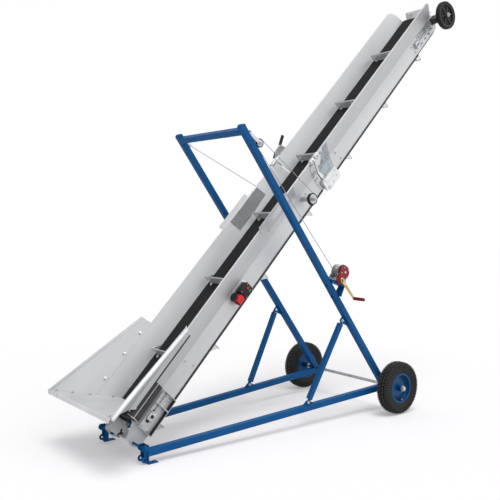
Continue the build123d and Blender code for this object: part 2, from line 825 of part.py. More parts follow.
def build_wheels():
    tyre_line = Polyline((rim_r, -32), (rim_r + 27, -tyre_half + 2))
    tyre_line += ThreePointArc((rim_r + 27, -tyre_half + 2), (rim_r + 57, -tyre_half - 2), (wheel_r - 12, -tyre_half + 8))
    tyre_line += ThreePointArc((wheel_r - 12, -tyre_half + 8), (wheel_r, 0), (wheel_r - 12, tyre_half - 8))
    tyre_line += ThreePointArc((wheel_r - 12, tyre_half - 8), (rim_r + 57, tyre_half + 2), (rim_r + 27, tyre_half - 2))
    tyre_line += Polyline((rim_r + 27, tyre_half - 2), (rim_r, 32), (rim_r, -32))
    tyre = revolve(make_face(tyre_line), Axis.Y)
    bore = axle_r + wheel_play
    rim_points = [
        (bore, hub_half), (hub_r, hub_half), (hub_r, 10), (60, 14), (rim_r - 16, 6), (rim_r - 8, 30),
        (rim_r - 8, 39), (rim_r + 5, 39), (rim_r + 5, 35.5), (rim_r - 0.3, 33), (rim_r - 0.3, -33),
        (rim_r + 5, -35.5), (rim_r + 5, -39), (rim_r - 8, -39), (rim_r - 8, -26), (rim_r - 16, -2),
        (60, 6), (hub_r, 2), (hub_r, -hub_half), (bore, -hub_half),
    ]
    rim = revolve(make_face(Polyline(*rim_points, close=True)), Axis.Y)
    place = Pos(axle_x, -wheel_y, axle_z)
    add_pair("tyre", place * tyre)
    add_pair("rim", place * mirror(rim, about=Plane.XZ))


def build_winch():
    y = -winch_y
    face = tube_side / 2
    root = mast_at(winch_base_high, face)
    tip = mast_at(winch_base_tip, winch_base_reach)
    heel = mast_at(winch_base_low, face)
    hole_root = mast_at(winch_base_high - 28, face)
    hole_tip = mast_at(winch_base_tip - 2, winch_base_reach - 20)
    hole_heel = mast_at(winch_base_low + 20, face)
    wedge = side_plate([root, tip, heel], y - winch_base_half, y + winch_base_half)
    wedge -= side_plate([hole_root, hole_tip, hole_heel], y - winch_base_half, y + winch_base_half)
    parts["winch_bracket"] = wedge
    rise = Vector(root[1] - tip[1], 0, tip[0] - root[0]).normalized()
    floor = Vector(root[0], 0, root[1])
    plate_run = Vector(tip[0] - root[0], 0, tip[1] - root[1])
    left, right = floor + plate_run * 0.16, floor + plate_run * 0.97
    near_side = y - winch_drum_half - winch_plate
    cheeks = None
    centre = Vector(winch_x, 0, winch_z)
    for y_from in (near_side - winch_plate, -near_side + 2 * y):
        corners = [left, right, centre + plate_run * 0.12 + rise * 22, centre - plate_run * 0.2 + rise * 22]
        cheek = side_plate([(p.X, p.Z) for p in corners], y_from, y_from + winch_plate)
        cheek += side_disc(winch_x, winch_z, 30, y_from, y_from + winch_plate)
        cheeks = cheek if cheeks is None else cheeks + cheek
    base_corners = [left, right, right + rise * winch_plate, left + rise * winch_plate]
    frame = cheeks + side_plate(
        [(p.X, p.Z) for p in base_corners], near_side - winch_plate, -near_side + 2 * y + winch_plate
    )
    axle_out = near_side - winch_plate
    frame += side_disc(winch_x, winch_z, 9, axle_out, -near_side + 2 * y + winch_plate)
    drum = side_disc(winch_x, winch_z, winch_drum_r, y - winch_drum_half, y + winch_drum_half)
    for way in (-1, 1):
        edge = y + way * (winch_drum_half - 2)
        drum += side_disc(winch_x, winch_z, winch_flange_r, edge - 2, edge + 2)
    parts["winch_drum"] = drum + frame
    cover_out = axle_out - winch_cover_depth
    cover = side_disc(winch_x, winch_z, winch_cover_r, cover_out, axle_out)
    cover += side_disc(crank_x, crank_z, winch_cover_r - 18, cover_out, axle_out)
    link = Vector(winch_x - crank_x, 0, winch_z - crank_z).normalized()
    wide = Vector(-link.Z, 0, link.X)
    waist = [
        Vector(winch_x, 0, winch_z) + wide * (winch_cover_r - 8),
        Vector(crank_x, 0, crank_z) + wide * (winch_cover_r - 22),
        Vector(crank_x, 0, crank_z) - wide * (winch_cover_r - 22),
        Vector(winch_x, 0, winch_z) - wide * (winch_cover_r - 8),
    ]
    cover += side_plate([(p.X, p.Z) for p in waist], cover_out, axle_out)
    cover -= side_disc(winch_x, winch_z, 9, cover_out, cover_out + 6)
    crank_y = cover_out - crank_gap
    cover += side_disc(crank_x, crank_z, crank_shaft_r, crank_y - 20, cover_out)
    parts["winch_cover"] = cover
    arm = bar(
        (crank_x, crank_y - 8, crank_z), (crank_end_x, crank_y - 8, crank_end_z), Rectangle(8, 24)
    )
    arm += side_disc(crank_x, crank_z, 19, crank_y - 18, crank_y)
    arm += side_disc(crank_end_x, crank_end_z, 13, crank_y - 12, crank_y - 4)
    arm -= side_disc(crank_x, crank_z, crank_shaft_r + pin_play, crank_y - 30, crank_y + 10)
    parts["crank_arm"] = arm
    grip = side_disc(crank_end_x, crank_end_z, grip_r, crank_y - 12 - grip_length, crank_y - 12)
    parts["crank_grip"] = grip


def tangent(first, first_r, second, second_r, side):
    # The two touching points of a straight rope that passes both circles on the same side.
    dx, dz = second[0] - first[0], second[1] - first[1]
    size = hypot(dx, dz)
    lean = (first_r - second_r) / size
    flat = (1 - lean * lean) ** 0.5
    nx = dx / size * lean - side * dz / size * flat
    nz = dz / size * lean + side * dx / size * flat
    start = (first[0] + nx * first_r, first[1] + nz * first_r)
    return start, (second[0] + nx * second_r, second[1] + nz * second_r)


def rope(start, start_y, end, end_y):
    return bar((start[0], start_y, start[1]), (end[0], end_y, end[1]), Circle(rope_r))


def hanger(top, low, top_r, low_r, half):
    # Two side plates from one pin down to another, on the near upright's line.
    y = -rail_rear_y
    run = Vector(low[0] - top[0], 0, low[1] - top[1]).normalized()
    wide = Vector(-run.Z, 0, run.X)
    a, b = Vector(top[0], 0, top[1]), Vector(low[0], 0, low[1])
    corners = [a + wide * top_r, b + wide * low_r, b - wide * low_r, a - wide * top_r]
    piece = side_disc(top[0], top[1], 4, y - half, y + half)
    piece += side_disc(low[0], low[1], 4, y - half, y + half)
    for y_from in (y - half - 4, y + half):
        piece += side_plate([(p.X, p.Z) for p in corners], y_from, y_from + 4)
        piece += side_disc(top[0], top[1], top_r, y_from, y_from + 4)
        piece += side_disc(low[0], low[1], low_r, y_from, y_from + 4)
    return piece


def build_ropes():
    y = -rail_rear_y
    eye = mast_at(eye_along, tube_side / 2 + 9)
    sheave = mast_at(sheave_along, sheave_out)
    gap = eye_bore - 4 - rope_play
    size = hypot(sheave[0] - eye[0], sheave[1] - eye[1])
    pull = ((sheave[0] - eye[0]) / size, (sheave[1] - eye[1]) / size)
    pin = (eye[0] + pull[0] * gap, eye[1] + pull[1] * gap)
    eye_half = 3
    ring = side_disc(eye[0], eye[1], eye_r, y - eye_half, y + eye_half)
    ring -= side_disc(eye[0], eye[1], eye_bore, y - eye_half, y + eye_half)
    start, end = mast_at(eye_along - 60, 0), mast_at(eye_along + 60, 0)
    ring -= bar((start[0], y, start[1]), (end[0], y, end[1]), Rectangle(tube_side, tube_side))
    hanging = (pin[0] + pull[0] * shackle_length, pin[1] + pull[1] * shackle_length)
    rope_block = hanger(pin, sheave, 9, 15, sheave_half)
    rope_block += side_disc(sheave[0], sheave[1], sheave_r, y - sheave_half, y + sheave_half)
    parts["near_rope_block"] = rope_block
    shackle = far(hanger(pin, hanging, 8, 8, eye_half + 1))
    parts["mast_eyes"] = Compound(children=[ring, far(ring), shackle])
    rope_at = sheave_r + rope_r + rope_play
    drum = (winch_x, winch_z)
    start, end = tangent(drum, winch_drum_r + rope_r + rope_play, sheave, rope_at, 1)
    parts["winch_rope"] = rope(start, -winch_y, end, y)
    lift = boom_point(lift_at, 0, lift_height)
    lift_y = -lift_half - lift_cheek - lift_sheave_width / 2
    start, end = tangent(sheave, rope_at, (lift.X, lift.Z), lift_sheave_r + rope_r + rope_play, 1)
    parts["near_lift_rope"] = rope(start, y, end, lift_y)
    below = (hanging[0] + pull[0] * (4 + rope_play), hanging[1] + pull[1] * (4 + rope_play))
    parts["far_lift_rope"] = rope(below, -y, end, -lift_y)


build_walls()
build_decks()
build_drums()
build_belts()
build_hopper()
build_side_guards()
build_tensioners()
build_lift()
build_switch()
build_fold()
build_latch()
build_head_wheels()
build_feet(build_chassis())
build_wheels()
build_winch()
build_ropes()

boxes = [shape.bounding_box() for shape in parts.values()]
centre_x = (min(b.min.X for b in boxes) + max(b.max.X for b in boxes)) / 2
os.makedirs("parts", exist_ok=True)
for name, shape in parts.items():
    export_step(Pos(-centre_x, 0, 0) * shape, "parts/" + name + ".step")
print("nodes", len(parts), "moved along X by", round(-centre_x, 6))
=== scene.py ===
import json
from math import atan2, cos, hypot, pi, radians, sin, tan

import bmesh
import bpy
from mathutils import Matrix, Vector


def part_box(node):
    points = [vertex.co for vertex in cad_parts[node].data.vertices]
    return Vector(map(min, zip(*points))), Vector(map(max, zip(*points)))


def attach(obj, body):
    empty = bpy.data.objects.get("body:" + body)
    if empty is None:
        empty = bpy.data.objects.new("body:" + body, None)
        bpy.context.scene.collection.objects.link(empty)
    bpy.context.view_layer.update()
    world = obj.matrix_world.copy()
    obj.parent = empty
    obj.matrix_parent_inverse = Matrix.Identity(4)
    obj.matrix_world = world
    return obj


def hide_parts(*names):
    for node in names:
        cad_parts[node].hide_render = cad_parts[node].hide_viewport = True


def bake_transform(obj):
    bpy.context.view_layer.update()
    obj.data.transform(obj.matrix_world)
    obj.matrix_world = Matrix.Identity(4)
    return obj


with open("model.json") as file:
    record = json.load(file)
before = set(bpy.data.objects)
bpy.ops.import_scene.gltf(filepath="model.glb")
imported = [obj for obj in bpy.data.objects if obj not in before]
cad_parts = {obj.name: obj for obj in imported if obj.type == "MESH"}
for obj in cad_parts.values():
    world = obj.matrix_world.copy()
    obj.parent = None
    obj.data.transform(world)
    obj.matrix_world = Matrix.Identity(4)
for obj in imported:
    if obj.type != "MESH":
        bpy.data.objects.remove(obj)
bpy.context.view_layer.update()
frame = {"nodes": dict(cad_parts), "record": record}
print("frame loaded")

move = Matrix.Translation
flipY = Matrix.Scale(-1, 4, (0, 1, 0))
bothSides = (Matrix(), flipY)


def turned(degrees, axis="Z"):
    return Matrix.Rotation(radians(degrees), 4, axis)


# The boom lies along X with its belt facing up while its pieces are made, then boomTurn lifts it.
boom = {
    "tailX": -1.377822, "tailZ": 0.048, "angle": 46.0, "half": 0.142, "crease": 0.125, "depth": 0.282,
    "flareHalf": 0.209, "hem": 0.012, "sheet": 0.003, "foldAt": 2.4, "foldGap": 0.010,
}
shiftX = boom["tailX"] - 0.008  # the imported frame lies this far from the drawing's origin
boomTurn = move((boom["tailX"], 0, boom["tailZ"])) @ turned(-boom["angle"], "Y")
sidePlace = {-1: boomTurn @ flipY, 1: boomTurn}
sideName = {-1: "near", 1: "far"}
flareSlope = (boom["flareHalf"] - boom["half"]) / (boom["depth"] - boom["crease"])
flareTurn = atan2(flareSlope, 1)


def flareAt(high):
    # Half the trough's width at a height above the crease.
    return boom["half"] + (high - boom["crease"]) * flareSlope


def flareNormal(way):
    return Vector((0, way * cos(flareTurn), -sin(flareTurn)))


# Studio
studio = {
    "floorSize": 60.0, "floorColor": (0.80, 0.785, 0.80), "floorLift": 0.26, "worldFill": 0.44,
    "suns": {
        "keySun": ((-0.10, -0.30, 1.0), 1.32, 30.0),
        "fillSun": ((0.35, -1.0, 0.50), 0.80, 70.0),
    },
}
camera = {"place": (-3.602822, -4.055, 1.545), "view": (0.625, 0.780), "lens": 50.4, "shiftY": -0.072}


def feed(tree, socket, value):
    # Sets an input from another node's output or from a plain value.
    if isinstance(value, bpy.types.NodeSocket):
        tree.links.new(value, socket)
    else:
        socket.default_value = value


def addNode(tree, kind, inputs=None, **settings):
    node = tree.nodes.new("ShaderNode" + kind)
    for label, value in settings.items():
        setattr(node, label, value)
    for label, value in (inputs or {}).items():
        feed(tree, node.inputs[label], value)
    return node


def addSun(name, comesFrom, power, soft):
    lamp = bpy.data.lights.new(name, "SUN")
    lamp.angle = radians(soft)
    lamp.energy = power
    thing = bpy.data.objects.new(name, lamp)
    thing.rotation_euler = Vector(comesFrom).to_track_quat("Z", "Y").to_euler()
    bpy.context.scene.collection.objects.link(thing)


def backgroundRays(tree, kinds):
    # One where a ray is of one of these kinds.
    path = addNode(tree, "LightPath")
    result = path.outputs[kinds[0]]
    for kind in kinds[1:]:
        result = addNode(tree, "Math", {0: result, 1: path.outputs[kind]}, operation="MAXIMUM").outputs[0]
    return result


def makeStudio():
    scene = bpy.context.scene
    scene.view_settings.view_transform = "Standard"
    scene.world = bpy.data.worlds.new("studioWorld")
    scene.world.use_nodes = True
    tree = scene.world.node_tree
    rays = backgroundRays(tree, ("Is Camera Ray", "Is Transmission Ray", "Is Glossy Ray"))
    level = addNode(tree, "MapRange", {"To Min": studio["worldFill"], "Value": rays})
    feed(tree, tree.nodes["Background"].inputs["Color"], (1, 1, 1, 1))
    feed(tree, tree.nodes["Background"].inputs["Strength"], level.outputs["Result"])

    bpy.ops.mesh.primitive_plane_add(size=studio["floorSize"], location=(0, 0, 0))
    floor = bpy.context.object
    floor.name = "floor"
    paint = bpy.data.materials.new("floorPaint")
    paint.use_nodes = True
    tree = paint.node_tree
    tree.nodes.clear()
    diffuse = addNode(tree, "BsdfDiffuse", {"Color": (*studio["floorColor"], 1)})
    rays = backgroundRays(tree, ("Is Camera Ray", "Is Glossy Ray"))
    seen = addNode(tree, "Math", {0: rays, 1: studio["floorLift"]}, operation="MULTIPLY")
    glow = addNode(tree, "Emission", {"Strength": seen.outputs[0]})
    both = addNode(tree, "AddShader", {0: diffuse.outputs[0], 1: glow.outputs[0]})
    addNode(tree, "OutputMaterial", {"Surface": both.outputs[0]})
    floor.data.materials.append(paint)

    for name, (comesFrom, power, soft) in studio["suns"].items():
        addSun(name, comesFrom, power, soft)

    eye = bpy.data.cameras.new("photoCamera")
    eye.lens = camera["lens"]
    eye.shift_y = camera["shiftY"]
    thing = bpy.data.objects.new("photoCamera", eye)
    thing.location = camera["place"]
    thing.rotation_euler = (radians(90), 0, atan2(camera["view"][1], camera["view"][0]) - radians(90))
    scene.collection.objects.link(thing)
    scene.camera = thing


makeStudio()
print("studio ready")


# Shared effects. Each is a node group that puts out values or a normal.
def newGroup(name, inputs, outputs):
    group = bpy.data.node_groups.new(name, "ShaderNodeTree")
    for label, kind, value in inputs:
        socket = group.interface.new_socket(label, in_out="INPUT", socket_type="NodeSocket" + kind)
        socket.default_value = value
    for label in outputs:
        kind = "Vector" if label == "Normal" else "Float"
        group.interface.new_socket(label, in_out="OUTPUT", socket_type="NodeSocket" + kind)
    start = group.nodes.new("NodeGroupInput")
    end = group.nodes.new("NodeGroupOutput")
    return group, start.outputs, end.inputs


def mottleGroup():
    # Soft patches and fine specks on Object coordinates, stretched along one axis.
    group, into, out = newGroup(
        "mottle",
        (("Patch Scale", "Float", 6.0), ("Speck Scale", "Float", 180.0), ("Stretch", "Vector", (1, 1, 1)),
         ("Turn", "Float", 0.0)),
        ("Patches", "Specks"),
    )
    place = addNode(group, "TexCoord").outputs["Object"]
    turn = addNode(group, "VectorRotate", {"Vector": place, "Angle": into["Turn"]}, rotation_type="Y_AXIS")
    stretch = addNode(group, "VectorMath", {0: turn.outputs[0], 1: into["Stretch"]}, operation="MULTIPLY")
    for scale, result, detail in (("Patch Scale", "Patches", 3), ("Speck Scale", "Specks", 2)):
        inputs = {"Detail": detail, "Vector": stretch.outputs[0], "Scale": into[scale]}
        feed(group, out[result], addNode(group, "TexNoise", inputs).outputs["Fac"])
    return group


def bumpGroup():
    # A height made into a normal.
    group, into, out = newGroup(
        "surfaceBump", (("Height", "Float", 0.5), ("Depth", "Float", 0.0002)), ("Normal",)
    )
    bump = addNode(group, "Bump", {"Height": into["Height"], "Distance": into["Depth"]})
    feed(group, out["Normal"], bump.outputs[0])
    return group


groups = {"mottle": mottleGroup(), "bump": bumpGroup()}
mottleLow, mottleHigh = 0.3, 0.7


def ramp(tree, source, low, high):
    # Turns a noise value into a colour between two.
    node = addNode(tree, "ValToRGB", {0: source})
    for element, spot, tint in zip(node.color_ramp.elements, (mottleLow, mottleHigh), (low, high)):
        element.position = spot
        element.color = (*tint, 1)
    return node.outputs[0]


def spread(tree, source, low, high):
    inputs = {"From Min": mottleLow, "From Max": mottleHigh, "To Min": low, "To Max": high, "Value": source}
    return addNode(tree, "MapRange", inputs).outputs["Result"]


# Finishes: two tints, a range of roughness, metal, gloss, coat, patch scale, speck scale and bump depth
finishes = {
    "galvanisedSheet": ((0.52, 0.53, 0.54), (0.68, 0.69, 0.7), (0.42, 0.54), 0.4, 0.3, 0, 2.6, 260, 0.0001),
    # brightSheet is a lighter copy of the galvanised sheet: the real bright zinc of the cleats and several
    # fittings, and painted light on the apron, the near wing's bead, the latch, the tensioner boxes' upper
    # liners and the round guards' crest rods.
    "brightSheet": ((0.6, 0.61, 0.62), (0.74, 0.75, 0.76), (0.26, 0.36), 0.55, 0.4, 0, 6, 260, 0.00008),
    # guardShadeSheet is a darker copy of the galvanised sheet: painted shade on the upright guards.
    "guardShadeSheet": ((0.42, 0.43, 0.44), (0.52, 0.53, 0.54), (0.34, 0.48), 0.6, 0.3, 0, 6, 260, 0.0001),
    # wingShadeSheet is a darker copy of the galvanised sheet: painted shade that tones down both hopper wings.
    "wingShadeSheet": ((0.43, 0.44, 0.45), (0.54, 0.55, 0.56), (0.44, 0.56), 0.4, 0.3, 0, 3, 260, 0.0001),
    "blueZinc": ((0.27, 0.32, 0.35), (0.38, 0.43, 0.46), (0.3, 0.42), 0.6, 0.5, 0, 16, 400, 0.00008),
    "rimBlue": ((0.002, 0.055, 0.165), (0.003, 0.075, 0.215), (0.4, 0.5), 0, 0.22, 0.06, 14, 700, 0.00006),
    # darkSheet is a near-black copy of the sheet: painted shade on the round side guards' shells, in the gap
    # under each wing's skirt and under the walls' lower edges; the head brackets take it too.
    "darkSheet": ((0.022, 0.022, 0.024), (0.05, 0.05, 0.053), (0.36, 0.5), 0, 0.3, 0, 12, 400, 0.00008),
    "zincHardware": ((0.46, 0.47, 0.49), (0.56, 0.57, 0.59), (0.28, 0.38), 0.7, 0.5, 0, 14, 500, 0.00008),
    "bluePaint": ((0.002, 0.078, 0.235), (0.003, 0.1, 0.29), (0.46, 0.54), 0, 0.12, 0.03, 9, 700, 0.00005),
    "beltRubber": ((0.018, 0.018, 0.019), (0.029, 0.029, 0.03), (0.66, 0.84), 0, 0.08, 0, 8, 900, 0.00025),
    "drumSteel": ((0.2, 0.2, 0.21), (0.32, 0.32, 0.33), (0.3, 0.5), 1, 0.5, 0, 30, 500, 0.0001),
    "tyreRubber": ((0.007, 0.007, 0.007), (0.013, 0.013, 0.013), (0.55, 0.72), 0, 0.25, 0, 25, 900, 0.0002),
    # treadHighlightRubber is a lighter copy of the tyre rubber: painted highlight on the tyre's ribs, blocks
    # and knobs.
    "treadHighlightRubber": ((0.024, 0.023, 0.023), (0.042, 0.04, 0.04), (0.42, 0.58), 0, 0.35, 0, 25, 900, 0.0001),
    "axleSteel": ((0.3, 0.3, 0.31), (0.46, 0.46, 0.47), (0.25, 0.4), 1, 0.5, 0, 30, 500, 0.00005),
    "blackPlastic": ((0.009, 0.009, 0.01), (0.016, 0.016, 0.017), (0.38, 0.5), 0, 0.3, 0, 30, 1200, 0.0001),
    "wheelPlastic": ((0.02, 0.02, 0.021), (0.032, 0.032, 0.033), (0.4, 0.55), 0, 0.3, 0, 30, 1200, 0.0001),
    "redPlastic": ((0.6, 0.012, 0.012), (0.74, 0.02, 0.02), (0.3, 0.4), 0, 0.3, 0, 30, 900, 0.00005),
    "greenPlastic": ((0.01, 0.2, 0.05), (0.015, 0.28, 0.07), (0.3, 0.4), 0, 0.3, 0, 30, 900, 0.00005),
    "redPaint": ((0.22, 0.006, 0.014), (0.29, 0.009, 0.02), (0.3, 0.42), 0, 0.3, 0.15, 20, 700, 0.0001),
    "gripRed": ((0.16, 0.01, 0.018), (0.22, 0.014, 0.026), (0.42, 0.55), 0, 0.3, 0, 30, 900, 0.0001),
    "yellowZinc": ((0.5, 0.34, 0.09), (0.7, 0.56, 0.28), (0.25, 0.38), 0.8, 0.5, 0, 25, 500, 0.00005),
    "ropeSteel": ((0.25, 0.25, 0.26), (0.42, 0.42, 0.43), (0.3, 0.45), 0.9, 0.5, 0, 60, 900, 0.0001),
}
# The finishes of each material slot, its nodes' own first.
slotFinishes = {
    "galvanised_sheet": ("galvanisedSheet", "brightSheet", "guardShadeSheet", "wingShadeSheet", "darkSheet"),
    "zinc_hardware": ("zincHardware", "blueZinc"), "rim_blue": ("rimBlue",), "blue_tube": ("bluePaint",),
    "belt_rubber": ("beltRubber",), "drum_steel": ("drumSteel",), "tyre_black": ("tyreRubber", "treadHighlightRubber"),
    "axle_steel": ("axleSteel",), "black_plastic": ("blackPlastic",), "wheel_plastic": ("wheelPlastic",),
    "inlet_red": ("redPlastic",), "button_plastic": ("greenPlastic",), "cover_red": ("redPaint", "gripRed"),
    "yellow_zinc": ("yellowZinc",), "rope_steel": ("ropeSteel",),
}
# Rolling marks run along these sheets, at the boom's slope.
rolled = {"finishes": ("galvanisedSheet", "guardShadeSheet", "wingShadeSheet"), "stretch": (0.25, 1, 1)}
ownPaint = {
    # upright_guards take a darker copy of the sheet and side_guards the near-black dark sheet: both painted
    # shade.
    "upright_guards": "guardShadeSheet", "side_guards": "darkSheet", "crank_grip": "gripRed",
    # latch_lever and latch_hook take the bright sheet as painted light, so they look lit.
    "latch_lever": "brightSheet", "pivot_bolts": "bluePaint", "head_brackets": "darkSheet",
    "latch_hook": "brightSheet", "fold_leaves_upper": "brightSheet", "switch_buttons": "redPlastic",
    "near_tail_tensioner": "galvanisedSheet", "far_tail_tensioner": "galvanisedSheet",
}


def surface(name, look):
    # One finish: a base between two tints, roughness between two values, and a fine bump.
    dark, light, rough, metal, gloss, coat, patch, speck, depth = look
    paint = bpy.data.materials.new(name)
    paint.use_nodes = True
    tree = paint.node_tree
    inputs = {"Patch Scale": patch, "Speck Scale": speck}
    if name in rolled["finishes"]:
        inputs.update({"Stretch": rolled["stretch"], "Turn": radians(boom["angle"])})
    mottle = addNode(tree, "Group", node_tree=groups["mottle"])
    for label, value in inputs.items():
        feed(tree, mottle.inputs[label], value)
    bump = addNode(tree, "Group", node_tree=groups["bump"])
    feed(tree, bump.inputs["Depth"], depth)
    feed(tree, bump.inputs["Height"], mottle.outputs["Specks"])
    base = {
        "Base Color": ramp(tree, mottle.outputs["Patches"], dark, light),
        "Roughness": spread(tree, mottle.outputs["Patches"], *rough), "Normal": bump.outputs[0],
        "Metallic": metal, "Coat Weight": coat, "Coat Roughness": 0.1, "Specular IOR Level": gloss,
    }
    for label, value in base.items():
        feed(tree, tree.nodes["Principled BSDF"].inputs[label], value)
    return paint


paints = {name: surface(name, look) for name, look in finishes.items()}
for row in frame["record"]["subparts"]:
    coats = frame["nodes"][row["node"]].data.materials
    coats.clear()
    coats.append(paints[ownPaint.get(row["node"], slotFinishes[row["material_slot"]][0])])
print("finishes set")


# Shapes. Each comes as its own bmesh about the origin; stamp sets a copy of it into a piece.
def stamp(mesh, shape, place=None, paint=0):
    copy = bpy.data.meshes.new("stamp")
    shape.to_mesh(copy)
    if place is not None:
        copy.transform(place)
    before = len(mesh.faces)
    mesh.from_mesh(copy)
    bpy.data.meshes.remove(copy)
    mesh.faces.ensure_lookup_table()
    for face in mesh.faces[before:]:
        face.material_index = paint


def stampLooks(mesh, shape, place):
    # As stamp, but the shape keeps its own finishes.
    looks = [face.material_index for face in shape.faces]
    stamp(mesh, shape, place)
    for face, look in zip(mesh.faces[-len(looks):], looks):
        face.material_index = look


def onBothSides(shape):
    mesh = bmesh.new()
    for place in bothSides:
        stampLooks(mesh, shape, place)
    return mesh


def faceOut(mesh):
    bmesh.ops.recalc_face_normals(mesh, faces=mesh.faces)


def turnOver(mesh):
    bmesh.ops.reverse_faces(mesh, faces=mesh.faces[:])


def thicken(mesh, thick):
    bmesh.ops.solidify(mesh, geom=mesh.faces[:], thickness=thick)


def closeHoles(mesh):
    bmesh.ops.holes_fill(mesh, edges=[e for e in mesh.edges if e.is_boundary], sides=0)


def pull(mesh, geom, way):
    # Extrudes a face or a row of edges along a vector and gives the new vertices.
    if isinstance(geom[0], bmesh.types.BMFace):
        made = bmesh.ops.extrude_face_region(mesh, geom=geom)
    else:
        made = bmesh.ops.extrude_edge_only(mesh, edges=geom)
    verts = [g for g in made["geom"] if isinstance(g, bmesh.types.BMVert)]
    bmesh.ops.translate(mesh, vec=way, verts=verts)
    return verts


def chain(mesh, points):
    # A row of edges through the points.
    verts = [mesh.verts.new(point) for point in points]
    return [mesh.edges.new(pair) for pair in zip(verts, verts[1:])]


def roundEdges(mesh, edges, size, segments):
    bmesh.ops.bevel(
        mesh, geom=edges, offset=size, segments=segments, affect="EDGES", profile=0.5, material=-1,
        offset_type="OFFSET", clamp_overlap=True,
    )


def soften(mesh, size, segments=2, sharpest=30.0):
    # Bevels every edge that turns by more than sharpest degrees.
    edges = [e for e in mesh.edges if e.is_manifold and e.calc_face_angle(0) > radians(sharpest)]
    if size > 0 and edges:
        roundEdges(mesh, edges, size, segments)


def blockShape(size, edge=0.001, segments=2):
    mesh = bmesh.new()
    bmesh.ops.create_cube(mesh, size=1.0)
    bmesh.ops.scale(mesh, vec=size, verts=mesh.verts)
    soften(mesh, edge, segments)
    return mesh


def rodShape(radius, length, steps=20, edge=0.0, tip=None):
    # A round bar standing on the origin along Z; tip gives its top another radius.
    mesh = bmesh.new()
    top = radius if tip is None else tip
    bmesh.ops.create_cone(mesh, cap_ends=True, segments=steps, radius1=radius, radius2=top, depth=length)
    bmesh.ops.translate(mesh, vec=(0, 0, length / 2), verts=mesh.verts)
    soften(mesh, edge, 2, 50)
    return mesh


def boltShape(size=0.016, washer=True):
    # A hexagon head with its washer, standing on the origin along Z; size is across the flats.
    mesh = bmesh.new()
    thick, high = 0.0, size * 0.55
    if washer:
        thick = size * 0.1
        stamp(mesh, rodShape(size * 0.92, thick, 20, thick * 0.3))
    stamp(mesh, rodShape(size / 2 / cos(pi / 6), high, 6, size * 0.05), move((0, 0, thick)))
    stamp(mesh, rodShape(size * 0.26, size * 0.2, 12, size * 0.04), move((0, 0, thick + high)))
    return mesh


def latheShape(points, steps=40):
    # A closed profile of (radius, along) turned round the Z axis.
    mesh = bmesh.new()
    verts = [mesh.verts.new((radius, 0, along)) for radius, along in points]
    edges = [mesh.edges.new(pair) for pair in [*zip(verts, verts[1:]), (verts[-1], verts[0])]]
    bmesh.ops.spin(
        mesh, geom=verts + edges, cent=(0, 0, 0), axis=(0, 0, 1), dvec=(0, 0, 0), angle=2 * pi, steps=steps,
        use_merge=True,
    )
    bmesh.ops.remove_doubles(mesh, verts=mesh.verts, dist=1e-6)
    faceOut(mesh)
    return mesh


def plateShape(points, thick, edge=0.0008):
    # A flat plate from an outline of (x, z) points, from Y = 0 to Y = thick.
    mesh = bmesh.new()
    face = mesh.faces.new([mesh.verts.new((x, 0, z)) for x, z in points])
    pull(mesh, [face], (0, thick, 0))
    faceOut(mesh)
    soften(mesh, edge, 1, 40)
    return mesh


def stripShape(path, start, end, thick, fold=0.0):
    # A folded sheet: a path of (y, z) points pulled along X, its thickness to the left of the path.
    mesh = bmesh.new()
    pull(mesh, chain(mesh, [(start, y, z) for y, z in path]), (end - start, 0, 0))
    faceOut(mesh)
    if fold > 0:
        roundEdges(mesh, [e for e in mesh.edges if e.is_manifold], fold, 4)
    thicken(mesh, thick)
    faceOut(mesh)
    return mesh


def tubeShape(points, radius, sides=8):
    # A round wire through the points.
    line = bpy.data.curves.new("wire", "CURVE")
    line.dimensions = "3D"
    line.bevel_depth = radius
    line.bevel_resolution = max(1, sides // 4)
    line.use_fill_caps = True
    spline = line.splines.new("POLY")
    spline.points.add(len(points) - 1)
    for spot, point in zip(spline.points, points):
        spot.co = (*point, 1)
    thing = bpy.data.objects.new("wire", line)
    data = bpy.data.meshes.new_from_object(thing)
    mesh = bmesh.new()
    mesh.from_mesh(data)
    bpy.data.objects.remove(thing)
    bpy.data.curves.remove(line)
    bpy.data.meshes.remove(data)
    faceOut(mesh)
    return mesh


def arcPoints(centre, radius, start, end, count=16):
    # Points in the XZ plane; angles in degrees from +X toward +Z.
    x, y, z = centre
    turns = [radians(start + (end - start) * k / (count - 1)) for k in range(count)]
    return [(x + radius * cos(t), y, z + radius * sin(t)) for t in turns]


def placed(point, out=(0, 0, 1), roll=0.0):
    # A place at the point, whose Z axis looks along out.
    turn = Vector(out).normalized().to_track_quat("Z", "Y").to_matrix().to_4x4()
    return move(Vector(point)) @ turn @ turned(roll)


def stampBolts(mesh, size, y, spots, paint=0):
    # Bolts of one size on a face that looks along +Y, at (x, z) spots.
    for x, z in spots:
        stamp(mesh, boltShape(size), placed((x, y, z), (0, 1, 0)), paint)


def addPiece(name, mesh, body, looks, place=None, stands=(), smooth=35.0):
    # Makes the finished object: looks are its finishes by face index, stands the nodes that it replaces.
    if place is not None:
        bmesh.ops.transform(mesh, matrix=place, verts=mesh.verts)
    faceOut(mesh)
    data = bpy.data.meshes.new(name)
    mesh.to_mesh(data)
    mesh.free()
    data.polygons.foreach_set("use_smooth", [True] * len(data.polygons))
    data.set_sharp_from_angle(angle=radians(smooth))
    piece = bpy.data.objects.new(name, data)
    bpy.context.scene.collection.objects.link(piece)
    for look in looks:
        data.materials.append(paints[look])
    if isinstance(body, str):
        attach(piece, body)
    else:
        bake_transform(piece)
    if stands:
        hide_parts(*stands)


print("shapes ready")


